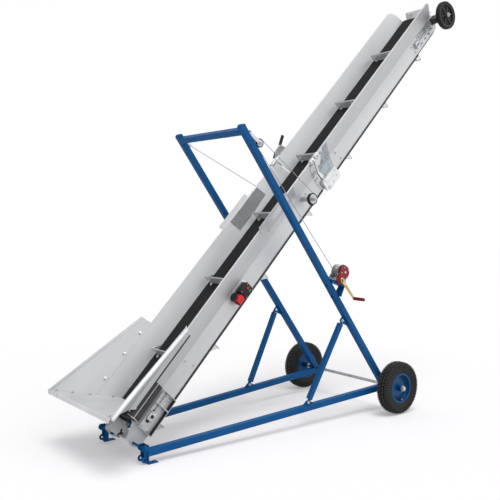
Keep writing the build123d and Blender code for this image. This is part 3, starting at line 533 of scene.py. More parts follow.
# Belt: one loop over both drums, with bright angle cleats bolted on
belt = {
    "half": 0.120, "drumR": 0.090, "sheet": 0.005, "tailAt": 0.205, "headAt": 4.390, "high": 0.072,
    "blendFrom": 2.30, "blendTo": 2.48, "divisions": 140,
}
cleat = {
    "pitch": 0.645, "topStart": 0.380, "returnStart": 0.305, "foot": 0.032, "high": 0.062, "edge": 0.007,
    "gusset": 0.065, "sheet": 0.004, "half": 0.118, "boltAt": 0.066, "gussetHole": 0.006,
}


def makeBelt():
    mesh = bmesh.new()
    outer = belt["drumR"] + belt["sheet"]
    loops = []
    for at, way in ((belt["tailAt"], 1), (belt["headAt"], -1)):
        first = mesh.verts.new((at, -belt["half"], belt["high"] + way * outer))
        before = set(mesh.edges)
        bmesh.ops.spin(
            mesh, geom=[first], cent=(at, 0, belt["high"]), axis=(0, 1, 0), dvec=(0, 0, 0), angle=-pi, steps=24
        )
        ends = [v for v in mesh.verts if len(v.link_edges) == 1 and set(v.link_edges) - before]
        loops.append(sorted(ends, key=lambda v: v.co.z))
    straights = [mesh.edges.new((loops[0][k], loops[1][k])) for k in (0, 1)]
    bmesh.ops.subdivide_edges(mesh, edges=straights, cuts=belt["divisions"])
    pull(mesh, mesh.edges[:], (0, 2 * belt["half"], 0))
    faceOut(mesh)
    middle = mesh.faces[0].calc_center_median()
    centre = Vector((belt["tailAt"], 0, belt["high"]))
    if mesh.faces[0].normal.dot(middle - centre) < 0:
        turnOver(mesh)
    thicken(mesh, belt["sheet"])
    ends = {
        "between": ("lower_boom", "upper_boom"),
        "start": boomTurn @ Vector((belt["blendFrom"], 0, belt["high"])),
        "end": boomTurn @ Vector((belt["blendTo"], 0, belt["high"])),
    }
    addPiece("beltLoop", mesh, ends, ["beltRubber"], boomTurn, ("lower_belt", "upper_belt"), 50)


def cleatShape():
    mesh = bmesh.new()
    half, sheet = cleat["half"], cleat["sheet"]
    foot, gusset, edgeHigh = cleat["foot"], cleat["gusset"], cleat["high"] - cleat["edge"]
    path = [(-foot, 0), (0, 0), (0, edgeHigh), (cleat["edge"] / 2, cleat["high"])]
    stamp(mesh, stripShape(path, -half, half, sheet, 0.003), flipY @ turned(90).inverted())
    web = [(0, 0.002), (gusset, 0.002), (gusset, 0.008), (0.006, edgeHigh), (0, edgeHigh)]
    for y in (-half, half - sheet):
        stamp(mesh, plateShape(web, sheet), move((0, y, 0)))
    bolt = boltShape(0.013)
    for y in (-cleat["boltAt"], cleat["boltAt"]):
        stamp(mesh, bolt, placed((-foot * 0.55, y, sheet)), 1)
        stamp(mesh, bolt, placed((-sheet, y, cleat["high"] * 0.55), (-1, 0, 0)), 1)
    for y, way in ((-half, -1), (half, 1)):
        stamp(mesh, rodShape(cleat["gussetHole"], 0.0006, 14), placed((0.020, y, 0.017), (0, way, 0)), 2)
    return mesh


def beltPlace(run):
    # A place on the belt's outer face, a distance along the loop from the top of the tail drum.
    outer = belt["drumR"] + belt["sheet"]
    straight = belt["headAt"] - belt["tailAt"]
    bend = pi * outer
    run = run % (2 * (straight + bend))
    at, turn = belt["tailAt"] + run, 0.0
    if straight <= run < straight + bend:
        at, turn = belt["headAt"], (run - straight) / outer
    elif run >= straight + bend:
        run -= straight + bend
        at, turn = belt["headAt"] - min(run, straight), pi + max(0, run - straight) / outer
    return move((at, 0, belt["high"])) @ Matrix.Rotation(turn, 4, "Y") @ move((0, 0, outer))


def makeCleats():
    one = cleatShape()
    bodies = {"lower": bmesh.new(), "upper": bmesh.new()}
    halfLoop = belt["headAt"] - belt["tailAt"] + pi * (belt["drumR"] + belt["sheet"])
    for start in (cleat["topStart"], halfLoop + cleat["returnStart"]):
        for k in range(round(halfLoop / cleat["pitch"])):
            place = beltPlace(start + k * cleat["pitch"] - cleat["foot"] / 2)
            side = "lower" if place.translation.x < boom["foldAt"] else "upper"
            stamp(bodies[side], one, place @ move((cleat["foot"] / 2, 0, -0.0005)))
    for side, mesh in bodies.items():
        addPiece(side + "Cleats", mesh, side + "_boom", ["brightSheet"], boomTurn)


makeBelt()
makeCleats()
print("belt and cleats ready")


# Hopper: two flared wings and a front plate that leans outward, with a folded lip
hopper = {
    "length": 0.742, "highWidth": 0.292, "lowWidth": 0.090, "flare": 43.0, "skirt": 0.040, "bead": 0.015,
    "lean": 36.0, "topAt": -0.012, "footHigh": 0.175, "lip": 0.026, "lipFold": 0.004,
    "apronHigh": 0.123, "wingBolt": (0.018, -0.070),
    "apron": ((0.0, 0.138), (0.0, -0.138), (0.050, -0.138), (0.060, -0.107), (0.093, 0.004), (0.100, 0.138)),
}
hemY, hemZ = boom["flareHalf"] + boom["hem"], boom["depth"]
wingTop = hemZ + hopper["highWidth"] * sin(radians(hopper["flare"]))
wingOut = hemY + hopper["highWidth"] * cos(radians(hopper["flare"]))


def frontAt(high):
    # Where the front plate's inner face stands along the boom at a height.
    return hopper["topAt"] + (wingTop - high) * tan(radians(hopper["lean"]))


def wingLine(width):
    turn = radians(hopper["flare"])
    return hemY + width * cos(turn), hemZ + width * sin(turn)


def flareInner(high):
    # The clear half width inside the flare, for the front plate's edges.
    return flareAt(high) - boom["sheet"] * 1.4


def makeWing(side):
    mesh = bmesh.new()
    backY, backZ = wingLine(hopper["lowWidth"])
    rest, back = Vector((hopper["length"], hemY, hemZ)), Vector((hopper["length"], backY, backZ))
    front = Vector((frontAt(wingTop), wingOut, wingTop))
    verts = [mesh.verts.new(corner) for corner in ((frontAt(hemZ), hemY, hemZ), rest, back, front)]
    mesh.faces.new(verts)
    drop = hopper["skirt"]
    for vert in pull(mesh, [mesh.edges.get((verts[0], verts[1]))], (0, 0, -drop)):
        if vert.co.x < hopper["length"] / 2:
            vert.co.x = frontAt(hemZ - drop)
    faceOut(mesh)
    if mesh.faces[0].normal.z > 0:
        turnOver(mesh)
    roundEdges(mesh, [e for e in mesh.edges if e.is_manifold], hopper["lipFold"], 4)
    thicken(mesh, -boom["sheet"])
    whole = bmesh.new()
    stamp(whole, mesh)
    run = (back - front).normalized()
    length = (back - front).length
    turn = radians(hopper["flare"])
    outward = Vector((0, sin(turn), -cos(turn))) * (hopper["bead"] - boom["sheet"])
    inward = Vector((0, -cos(turn), -sin(turn))) * hopper["bead"]
    bead = rodShape(hopper["bead"], length - 0.012, 20, 0.004)
    # The near wing's bead takes the bright sheet and the far one the plain sheet: painted light on the near
    # bead.
    stamp(whole, bead, placed(front + run * 0.006 + outward + inward, run), 1 if side < 0 else 0)
    backRun = back - rest
    stamp(whole, rodShape(0.004, backRun.length, 12, 0.002), placed(rest + Vector((0, 0.002, 0)), backRun), 1)
    # A dark rod under the skirt: painted shadow in the gap between the wing and the wall.
    skirtFrom = Vector((frontAt(hemZ - drop) + 0.01, hemY + 0.002, hemZ - drop))
    skirtShadowRod = rodShape(0.0055, hopper["length"] - skirtFrom.x, 12, 0.002)
    stamp(whole, skirtShadowRod, placed(skirtFrom, (1, 0, 0)), 3)
    wingNormal = Vector((0, -sin(turn), cos(turn)))
    for share in (0.34, 0.62, 0.86):
        y, z = wingLine(0.022)
        stamp(whole, boltShape(0.013), placed((hopper["length"] * share, y, z), wingNormal), 2)
    # The wings take the darker copy of the sheet as painted shade.
    looks = ["wingShadeSheet", "brightSheet", "zincHardware", "darkSheet"]
    node = sideName[side] + "_hopper_wing"
    addPiece(sideName[side] + "Wing", whole, "lower_boom", looks, sidePlace[side], (node,))


def makeFront():
    mesh = bmesh.new()
    lean = radians(hopper["lean"])
    down = Vector((-cos(lean), 0, -sin(lean)))
    foot = hopper["footHigh"]
    top = wingTop - 0.0005
    lowHem = hemZ + boom["sheet"]
    lowOut = hemY + (lowHem - hemZ) / tan(radians(hopper["flare"])) - 0.002
    half = [(flareInner(foot), foot), (flareInner(lowHem), lowHem), (lowOut, lowHem), (wingOut - 0.004, top)]
    outline = half + [(-y, z) for y, z in reversed(half)]
    mesh.faces.new([mesh.verts.new((frontAt(z), y, z)) for y, z in outline])
    pull(mesh, mesh.faces[:], down * boom["sheet"])
    faceOut(mesh)
    soften(mesh, 0.0006, 1, 60)
    whole = bmesh.new()
    stamp(whole, mesh)
    reach = wingOut - 0.002
    edge = Vector((frontAt(top), 0, top))
    up = Vector((-sin(lean), 0, cos(lean)))
    path = [edge - up * 0.03 + down * 0.0035, edge + down * 0.0035, edge + down * hopper["lip"]]
    lipPath = [(point.x, point.z) for point in path]
    lip = stripShape(lipPath, -reach, reach, boom["sheet"], hopper["lipFold"])
    turnPath = Matrix(((0, 1, 0, 0), (1, 0, 0, 0), (0, 0, 1, 0), (0, 0, 0, 1)))
    stamp(whole, lip, turnPath, 1)
    roll = rodShape(0.0042, 2 * reach, 14, 0.002)
    stamp(whole, roll, placed(edge + Vector((-0.001, -reach, 0)), (0, 1, 0)), 1)
    bolt = boltShape(0.014)
    for side in (-1, 1):
        for share in (0.16, 0.52, 0.86):
            y = lowOut + (wingOut - lowOut) * share - 0.024
            z = lowHem + (top - lowHem) * share
            stamp(whole, bolt, placed((frontAt(z), side * y, z), -down), 2)
        z = foot + 0.035
        stamp(whole, bolt, placed((frontAt(z), side * (flareInner(z) - 0.020), z), -down), 2)
    apron = bmesh.new()
    apron.faces.new([apron.verts.new((s, y, hopper["apronHigh"])) for s, y in hopper["apron"]])
    thicken(apron, boom["sheet"])
    # The apron takes the bright sheet: painted light, lifting it out of the shade it lies in.
    stamp(whole, apron, None, 1)
    s, y = hopper["wingBolt"]
    spot = Vector((s, y, hopper["apronHigh"] + boom["sheet"]))
    stamp(whole, rodShape(0.010, 0.012, 14, 0.002), placed(spot), 3)
    for way in (-1, 1):
        ear = blockShape((0.020, 0.004, 0.013), 0.0019)
        leanEar = turned(-28 * way, "Y")
        stamp(whole, ear, move(spot + Vector((way * 0.014, 0, 0.016))) @ leanEar, 3)
    looks = ["galvanisedSheet", "brightSheet", "zincHardware", "blackPlastic"]
    addPiece("hopperFront", whole, "lower_boom", looks, boomTurn, ("hopper_front",))


walls = {
    "lip": 0.018, "end": boom["foldAt"] - boom["foldGap"] / 2,
    "front": ((0.010, 0.0), (-0.008, 0.045), (-0.008, 0.075), (0.002, 0.125)),
    "flareFront": ((0.012, 0.125), (0.097, 0.170), (0.136, 0.282)),
}


def makeLowerWall(side):
    # One lower wall's sheet: lip, upright wall, flare and top hem, with a cut-back front.
    end, half, crease, depth = walls["end"], boom["half"], boom["crease"], boom["depth"]
    top, lip, hem = flareAt(depth), half - walls["lip"], flareAt(depth) + boom["hem"]
    foot, nose = walls["front"][0][0], walls["flareFront"][2][0]
    mesh = bmesh.new()
    rows = [
        [(foot, lip, 0), (foot, half, 0), (end, half, 0), (end, lip, 0)],
        [(s, half, n) for s, n in walls["front"]] + [(end, half, crease), (end, half, 0)],
        [(s, flareAt(n), n) for s, n in walls["flareFront"]] + [(end, top, depth), (end, half, crease)],
        [(nose, top, depth), (nose, hem, depth), (end, hem, depth), (end, top, depth)],
    ]
    for corners in rows:
        mesh.faces.new([mesh.verts.new(corner) for corner in corners])
    bmesh.ops.remove_doubles(mesh, verts=mesh.verts, dist=1e-5)
    faceOut(mesh)
    upright = max(mesh.faces, key=lambda face: face.normal.y * face.calc_area())
    if upright.normal.y < 0.9:
        turnOver(mesh)
    thicken(mesh, boom["sheet"])
    soften(mesh, 0.0009, 2, 25)
    name, node = sideName[side] + "LowerWall", sideName[side] + "_lower_wall"
    addPiece(name, mesh, "lower_boom", ["galvanisedSheet"], sidePlace[side], (node,))


roundGuard = {
    "start": 0.112, "end": 0.370, "radius": 0.052, "high": 0.208, "sheet": 0.003, "highlightRadius": 0.0022,
    "tip": (0.072, 0.236, 0.318), "ringRadius": 0.0024,
}


def makeRoundGuards():
    # A half-round shell standing on the flare, in the near-black dark sheet as painted shade, its open front
    # closed by a black nose that leans down the boom, painted shade for the hollow inside; a bright rod along
    # its crest is a painted highlight.
    mesh = bmesh.new()
    start, end, radius = roundGuard["start"], roundGuard["end"], roundGuard["radius"]
    centre = Vector((0, flareAt(roundGuard["high"]) + 0.002, roundGuard["high"]))
    along = Vector((0, sin(flareTurn), cos(flareTurn)))
    out = flareNormal(1)

    def ring(at, radius, count=17):
        turns = [pi * k / (count - 1) for k in range(count)]
        return [centre + Vector((at, 0, 0)) + along * radius * cos(t) + out * radius * sin(t) for t in turns]

    shell = bmesh.new()
    pull(shell, chain(shell, ring(start, radius)), (end - start, 0, 0))
    faceOut(shell)
    thicken(shell, roundGuard["sheet"])
    # The nose is black plastic: painted shade standing in for the shadowed hollow inside the open front.
    nose = bmesh.new()
    rim = [nose.verts.new(point) for point in ring(start, radius - 0.003)]
    tip = nose.verts.new(roundGuard["tip"])
    for pair in zip(rim, rim[1:]):
        nose.faces.new((*pair, tip))
    nose.faces.new((rim[-1], rim[0], tip))
    closeHoles(nose)
    rimWire = tubeShape(ring(start, radius), roundGuard["ringRadius"])
    # A bright rod along the crest: a painted highlight on the shell.
    highlightSpot = centre + (along * 0.62 + out * 0.78) * (radius + 0.0005) + Vector((start, 0, 0))
    line = rodShape(roundGuard["highlightRadius"], end - start, 10)
    for place in bothSides:
        stamp(mesh, shell, place)
        stamp(mesh, nose, place, 1)
        stamp(mesh, rimWire, place, 2)
        stamp(mesh, line, place @ placed(highlightSpot, (1, 0, 0)), 2)
    # The shell's near-black dark sheet is painted shade on the guard.
    looks = ["darkSheet", "blackPlastic", "brightSheet"]
    addPiece("roundGuards", mesh, "lower_boom", looks, boomTurn, ("side_guards",))


makeLowerWall(-1)
makeLowerWall(1)
makeRoundGuards()
makeWing(-1)
makeWing(1)
makeFront()
print("hopper ready")


# Trough edges: a rolled bead on each top hem, a dark rod of painted shade under each wall's lower edge, and
# bolts along the creases
trough = {
    # edge is the radius and edges the spans of the dark rods of painted shade under the walls.
    "bead": 0.0055, "edge": 0.010, "tailEnd": 0.140, "headEnd": 4.368,
    "edges": {"lower": (0.390, 2.350), "upper": (boom["foldAt"] + 0.160, 4.050)},
    "boltSize": 0.013, "bolts": {"lower": (0.62, 2.20), "upper": (2.66, 4.02)},
}


def makeHems():
    bead = trough["bead"]
    y, z = boom["flareHalf"] + boom["hem"] * 0.62, boom["depth"] + 0.0005
    gap = boom["foldGap"] / 2 + 0.001
    spans = {
        "lower": (trough["tailEnd"], boom["foldAt"] - gap), "upper": (boom["foldAt"] + gap, trough["headEnd"]),
    }
    edge = trough["edge"]
    for side, (start, end) in spans.items():
        edgeFrom, edgeTo = trough["edges"][side]
        # The dark rod under each wall's lower edge is painted shade.
        roll = rodShape(edge, edgeTo - edgeFrom, 18, 0.003)
        mesh = bmesh.new()
        for way in (-1, 1):
            stamp(mesh, rodShape(bead, end - start, 16, 0.003), placed((start, way * y, z), (1, 0, 0)))
            spot = (edgeFrom, way * (boom["half"] - edge * 0.35), -edge * 0.85)
            stamp(mesh, roll, placed(spot, (1, 0, 0)), 1)
        addPiece(side + "Hems", mesh, side + "_boom", ["galvanisedSheet", "darkSheet"], boomTurn)


def makeWallBolts():
    bolt = boltShape(trough["boltSize"])
    for side, spots in trough["bolts"].items():
        mesh = bmesh.new()
        for way in (-1, 1):
            for at in spots:
                for x, z in ((at, 0.100), (at + 0.02, 0.030)):
                    stamp(mesh, bolt, placed((x, way * boom["half"], z), (0, way, 0)))
        addPiece(side + "Bolts", mesh, side + "_boom", ["zincHardware"], boomTurn)


makeHems()
makeWallBolts()
print("trough edges ready")


# Belt tensioners: fittings in the open boxes beside the tail drum
tension = {
    "depth": 0.038, "boxes": (0.104, 0.291, 0.380), "high": 0.125, "face": 0.155, "screwFace": 0.1515,
    "nuts": (0.237, 0.281, 0.294, 0.369), "threads": 46,
    "bolts": ((0.124, 0.028), (0.124, 0.096), (0.338, 0.098), (0.352, 0.034), (0.276, 0.024)),
}


def makeTensionFittings():
    side = bmesh.new()
    wall, high = boom["half"] + boom["sheet"], tension["high"]
    drumAt, drumHigh = belt["tailAt"], belt["high"]
    face, screw, depth = tension["face"], tension["screwFace"], tension["depth"]
    for start, end in zip(tension["boxes"], tension["boxes"][1:]):
        # The liner along the box's lower side is black, as painted shade, and the one along its upper side
        # bright, as painted light.
        liner = blockShape((end - start - 0.010, depth - 0.006, 0.0012), 0.0004)
        for z, paint in ((0.0042, 2), (high - 0.0042, 1)):
            stamp(side, liner, move(((start + end) / 2, wall + depth / 2 - 0.003, z)), paint)
    slot = blockShape((0.092, 0.0012, 0.026), 0.0005)
    stamp(side, slot, move((drumAt, wall + 0.0006, drumHigh)), 2)
    carrier = blockShape((0.056, 0.005, 0.044), 0.0018, 3)
    stamp(side, carrier, move((drumAt, face + 0.0025, drumHigh)))
    shaft = placed((drumAt, face + 0.005, drumHigh), (0, 1, 0))
    stamp(side, rodShape(0.0165, 0.003, 24, 0.0008), shaft, 1)
    stamp(side, rodShape(0.0118, 0.006, 24, 0.001), shaft, 2)
    stampBolts(side, 0.010, face + 0.005, [(drumAt + along, drumHigh + 0.014) for along in (-0.022, 0.022)], 1)
    nut = rodShape(0.0095, 0.008, 6, 0.0008)
    for at in tension["nuts"]:
        stamp(side, nut, placed((at, screw, drumHigh), (1, 0, 0)), 1)
    thread = rodShape(0.0052, 0.0012, 12, 0.0003)
    for k in range(tension["threads"]):
        stamp(side, thread, placed((0.246 + k * 0.0025, screw, drumHigh), (1, 0, 0)), 1)
    stampBolts(side, 0.014, wall, tension["bolts"], 1)
    looks = ["brightSheet", "zincHardware", "blackPlastic"]
    addPiece("tensionFittings", onBothSides(side), "lower_boom", looks, boomTurn)


makeTensionFittings()


# Switch box with its inlet, lid and two buttons
switch = {
    "at": 1.262, "high": 0.066, "length": 0.092, "width": 0.080, "depth": 0.066, "plate": 0.004,
    "inletRadius": 0.033, "inletOut": 0.058, "pins": 5, "pinRing": 0.0155,
    "buttons": ((0.022, 0.013), (0.018, -0.013)), "buttonSize": (0.019, 0.017),
}


def makeSwitch():
    mesh = bmesh.new()
    at, high = switch["at"] + 0.006, switch["high"]
    length, width, depth, wall = switch["length"], switch["width"], switch["depth"], boom["half"]
    front = wall + depth
    plate = blockShape((length + 0.040, switch["plate"], width + 0.018), 0.001)
    stamp(mesh, plate, move((at + 0.003, -wall - switch["plate"] / 2, high - 0.002)), 1)
    body = blockShape((length, depth - 0.016, width), 0.008, 4)
    stamp(mesh, body, move((at, -wall - switch["plate"] - (depth - 0.016) / 2, high)))
    lid = blockShape((length + 0.002, 0.016, width + 0.002), 0.006, 4)
    stamp(mesh, lid, move((at, -front + 0.009, high)))
    for x in (-1, 1):
        for z in (-1, 1):
            spot = (at + x * (length / 2 - 0.010), -front + 0.001, high + z * (width / 2 - 0.010))
            stamp(mesh, rodShape(0.0034, 0.0012, 12, 0.0004), placed(spot, (0, -1, 0)), 1)
    panel = blockShape((0.074, 0.003, 0.050), 0.0014, 2)
    stamp(mesh, panel, move((switch["at"] + 0.002, -front - 0.0005, high)))
    inletY, inletZ = -wall - depth / 2 - 0.004, high - 0.004
    start = at - length / 2
    neck = [(0.024, 0.0), (0.024, 0.008), (0.028, 0.012), (0.028, 0.016), (0.0, 0.016), (0.0, 0.0)]
    stamp(mesh, latheShape(neck, 32), placed((start + 0.004, inletY, inletZ), (-1, 0, 0)))
    addPiece("switchBody", mesh, "lower_boom", ["blackPlastic", "zincHardware"], boomTurn, ("switch_box",))

    inlet = bmesh.new()
    r, out = switch["inletRadius"], switch["inletOut"]
    cup = [
        (r - 0.006, 0.0), (r - 0.001, 0.004), (r - 0.001, out - 0.012), (r + 0.001, out - 0.010),
        (r + 0.001, out - 0.002), (r - 0.001, out), (r - 0.0045, out), (r - 0.0045, 0.018), (0.0, 0.018),
        (0.0, 0.0),
    ]
    place = placed((start - 0.004, inletY, inletZ), (-1, 0, 0))
    stamp(inlet, latheShape(cup, 40), place)
    core = rodShape(r - 0.009, out - 0.020, 32, 0.0015)
    stamp(inlet, core, place @ move((0, 0, 0.012)), 1)
    pin = rodShape(0.0028, out - 0.014, 12, 0.0008)
    for k in range(switch["pins"]):
        turn = 2 * pi * k / switch["pins"]
        spot = move((switch["pinRing"] * cos(turn), switch["pinRing"] * sin(turn), 0.010))
        stamp(inlet, pin, place @ spot, 2)
    hinge = blockShape((0.016, 0.010, 0.012), 0.002, 3)
    top = Vector((start - out * 0.42, inletY, inletZ + r + 0.004))
    stamp(inlet, hinge, move(top + Vector((0.006, 0, -0.002))), 1)
    lidTurn = turned(-16, "Y")
    cover = latheShape([(0.0, 0.0), (r + 0.002, 0.0), (r + 0.003, 0.003), (r + 0.001, 0.006), (0.0, 0.007)], 36)
    stamp(inlet, cover, move(top + Vector((-0.022, 0, 0.006))) @ lidTurn, 1)
    looks = ["redPlastic", "blackPlastic", "zincHardware"]
    addPiece("powerInlet", inlet, "lower_boom", looks, boomTurn, ("power_inlet",))

    buttons = bmesh.new()
    long, tall = switch["buttonSize"]
    for k, (shift, rise) in enumerate(switch["buttons"]):
        spot = move((switch["at"] + shift, -front - 0.0035, high + rise))
        stamp(buttons, blockShape((long + 0.006, 0.004, tall + 0.006), 0.0015), spot, 2)
        stamp(buttons, blockShape((long, 0.009, tall), 0.0028, 3), spot, k)
    looks = ["redPlastic", "greenPlastic", "blackPlastic"]
    addPiece("switchButtons", buttons, "lower_boom", looks, boomTurn, ("switch_buttons",))


makeSwitch()
print("switch and tensioners ready")


# Fold: bolts on the hinge leaves, blocks over the hems, the pin ends, and the catch on the far side
fold = {
    "drop": 0.022, "leafLength": {"lower": 0.060, "upper": 0.157}, "leaf": {"lower": 0.004, "upper": 0.0045},
    "boltShares": {"lower": (0.35, 0.75), "upper": (0.22, 0.55, 0.88)}, "flareBolts": (0.165, 0.250),
    "housingOut": 0.1765, "boltSize": 0.015, "hemBlock": (0.050, 0.026, 0.030),
    "plugs": ((0.060, -0.020), (0.120, -0.010), (0.130, 0.034), (0.000, 0.040)),
    "catchLower": ((2.330, 0.232), (2.372, 0.232), (2.352, 0.262)),
    "catchUpper": ((2.432, 0.232), (2.480, 0.232), (2.536, 0.232), (2.536, 0.262)),
    "plateLow": ((2.440, 0.060), (2.562, 0.030), (2.590, boom["crease"]), (2.425, boom["crease"])),
    "plateHigh": ((2.425, boom["crease"]), (2.590, boom["crease"]), (2.594, 0.270), (2.550, 0.280)),
    "plateBolts": ((2.560, 0.200), (2.572, 0.150), (2.545, 0.090), (2.540, 0.052), (2.575, 0.245)),
}


def makeFoldFittings():
    gap, size, bolt = boom["foldGap"] / 2, fold["hemBlock"], boltShape(fold["boltSize"])
    for side, way in (("lower", -1), ("upper", 1)):
        thick = fold["leaf"][side]
        mesh = bmesh.new()
        for y in (-1, 1):
            for share in fold["boltShares"][side]:
                at = boom["foldAt"] + way * (gap + fold["leafLength"][side] * share)
                if side == "lower":
                    stamp(mesh, bolt, placed((at, y * (boom["half"] + thick), 0.100), (0, y, 0)))
                for n in fold["flareBolts"]:
                    out = flareNormal(y)
                    stamp(mesh, bolt, placed(Vector((at, y * flareAt(n), n)) + out * thick, out))
            at = boom["foldAt"] + way * (gap + size[0] / 2 + 0.001)
            hem = y * (boom["flareHalf"] + 0.010)
            stamp(mesh, blockShape(size, 0.004, 3), move((at, hem, boom["depth"] - 0.004)), 1)
            spot = (at, hem + y * size[1] / 2, boom["depth"] - 0.006)
            stamp(mesh, boltShape(0.013), placed(spot, (0, y, 0)))
            if side == "upper":
                stampHousing(mesh, y)
        addPiece(side + "FoldFittings", mesh, side + "_boom", ["zincHardware", "brightSheet"], boomTurn)


def stampHousing(mesh, y):
    # The pin's end, the plugs and the pressed seam on the hinge housing.
    at, out = boom["foldAt"], fold["housingOut"]
    pin = [(0.0, 0.0), (0.015, 0.0), (0.015, 0.004), (0.012, 0.006), (0.0, 0.006)]
    stamp(mesh, latheShape(pin, 28), placed((at, y * out, -fold["drop"]), (0, y, 0)))
    for along, n in fold["plugs"]:
        stamp(mesh, rodShape(0.007, 0.003, 18, 0.001), placed((at + along, y * out, n), (0, y, 0)))
    stamp(mesh, blockShape((0.130, 0.0016, 0.004), 0.0006), move((at + 0.062, y * (out + 0.0004), 0.018)))


def makeCatch():
    # Bolts and a black locking bar on the catch that holds the two halves in line.
    y = boom["flareHalf"] + boom["hem"] + 0.004
    low, high = bmesh.new(), bmesh.new()
    stampBolts(low, 0.013, y, fold["catchLower"])
    stampBolts(high, 0.013, y, fold["catchUpper"])
    bar = blockShape((0.060, 0.010, 0.012), 0.002)
    stamp(high, bar, move((2.436, y + 0.007, 0.318)) @ turned(-24, "Y"), 1)
    knob = [(0.0, 0.0), (0.010, 0.0), (0.012, 0.004), (0.012, 0.012), (0.009, 0.016), (0.0, 0.016)]
    stamp(high, latheShape(knob, 24), placed((2.4875, y + 0.014, 0.312), (0, 1, 0)), 1)
    addPiece("catchLower", low, "lower_boom", ["zincHardware"], boomTurn)
    addPiece("catchUpper", high, "upper_boom", ["zincHardware", "blackPlastic"], boomTurn)


def makeFoldPlate():
    # The bluish stiffening plate that climbs the upper half's side from the hinge housing.
    crease, bolt = boom["crease"], boltShape(0.012)
    lift = fold["leaf"]["upper"] + 0.0004
    mesh = bmesh.new()
    for way in (-1, 1):
        for part in (fold["plateLow"], fold["plateHigh"]):
            one = bmesh.new()
            one.faces.new([one.verts.new((s, way * (flareAt(max(n, crease)) + lift), n)) for s, n in part])
            faceOut(one)
            if one.faces[:][0].normal.y * way < 0:
                turnOver(one)
            thicken(one, -0.003)
            soften(one, 0.001, 1, 50)
            stamp(mesh, one)
        for s, n in fold["plateBolts"]:
            out = flareNormal(way) if n > crease else (0, way, 0)
            stamp(mesh, bolt, placed((s, way * (flareAt(max(n, crease)) + lift + 0.003), n), out), 1)
    addPiece("foldPlates", mesh, "upper_boom", ["blueZinc", "zincHardware"], boomTurn)


makeFoldFittings()
makeFoldPlate()
makeCatch()
print("fold ready")


# Head: bolts on the bearing plates, adjusting nuts, shaft ends and wheel hub caps
head = {
    "plate": 0.146, "block": 0.156, "screwY": 0.151, "nuts": (4.120, 4.131, 4.330), "threads": 60,
    "wheelY": 0.290, "wheelAt": 4.440, "wheelHigh": 0.095, "wheelRadius": 0.122, "wheelHalf": 0.020,
    "spokes": 6, "ribs": 36,
    "bolts": ((4.165, 0.100), (4.235, 0.100), (4.165, 0.032), (4.235, 0.032), (4.305, 0.108), (4.305, 0.030)),
}


def makeHeadFittings():
    side = bmesh.new()
    at, high, screw = belt["headAt"], belt["high"], head["screwY"]
    stampBolts(side, 0.015, head["plate"], head["bolts"])
    corners = [(at + along, high + n) for along in (-0.034, 0.034) for n in (-0.023, 0.023)]
    stampBolts(side, 0.012, head["block"], corners)
    ring = latheShape([(0.014, 0.0), (0.026, 0.0), (0.026, 0.003), (0.022, 0.006), (0.014, 0.006)], 32)
    stamp(side, ring, placed((at, head["block"], high), (0, 1, 0)), 1)
    stamp(side, blockShape((0.040, 0.0016, 0.010), 0.0006), move((4.090, boom["half"] + 0.0266, high)), 2)
    nut = rodShape(0.0095, 0.008, 6, 0.0008)
    for x in head["nuts"]:
        stamp(side, nut, placed((x, screw, high), (1, 0, 0)))
    thread = rodShape(0.0046, 0.0012, 12, 0.0003)
    for k in range(head["threads"]):
        stamp(side, thread, placed((4.142 + k * 0.0030, screw, high), (1, 0, 0)))
    stampBolts(side, 0.014, 0.262, ((4.404, 0.112), (4.404, 0.078)))
    looks = ["zincHardware", "brightSheet", "blackPlastic"]
    addPiece("headFittings", onBothSides(side), "upper_boom", looks, boomTurn)


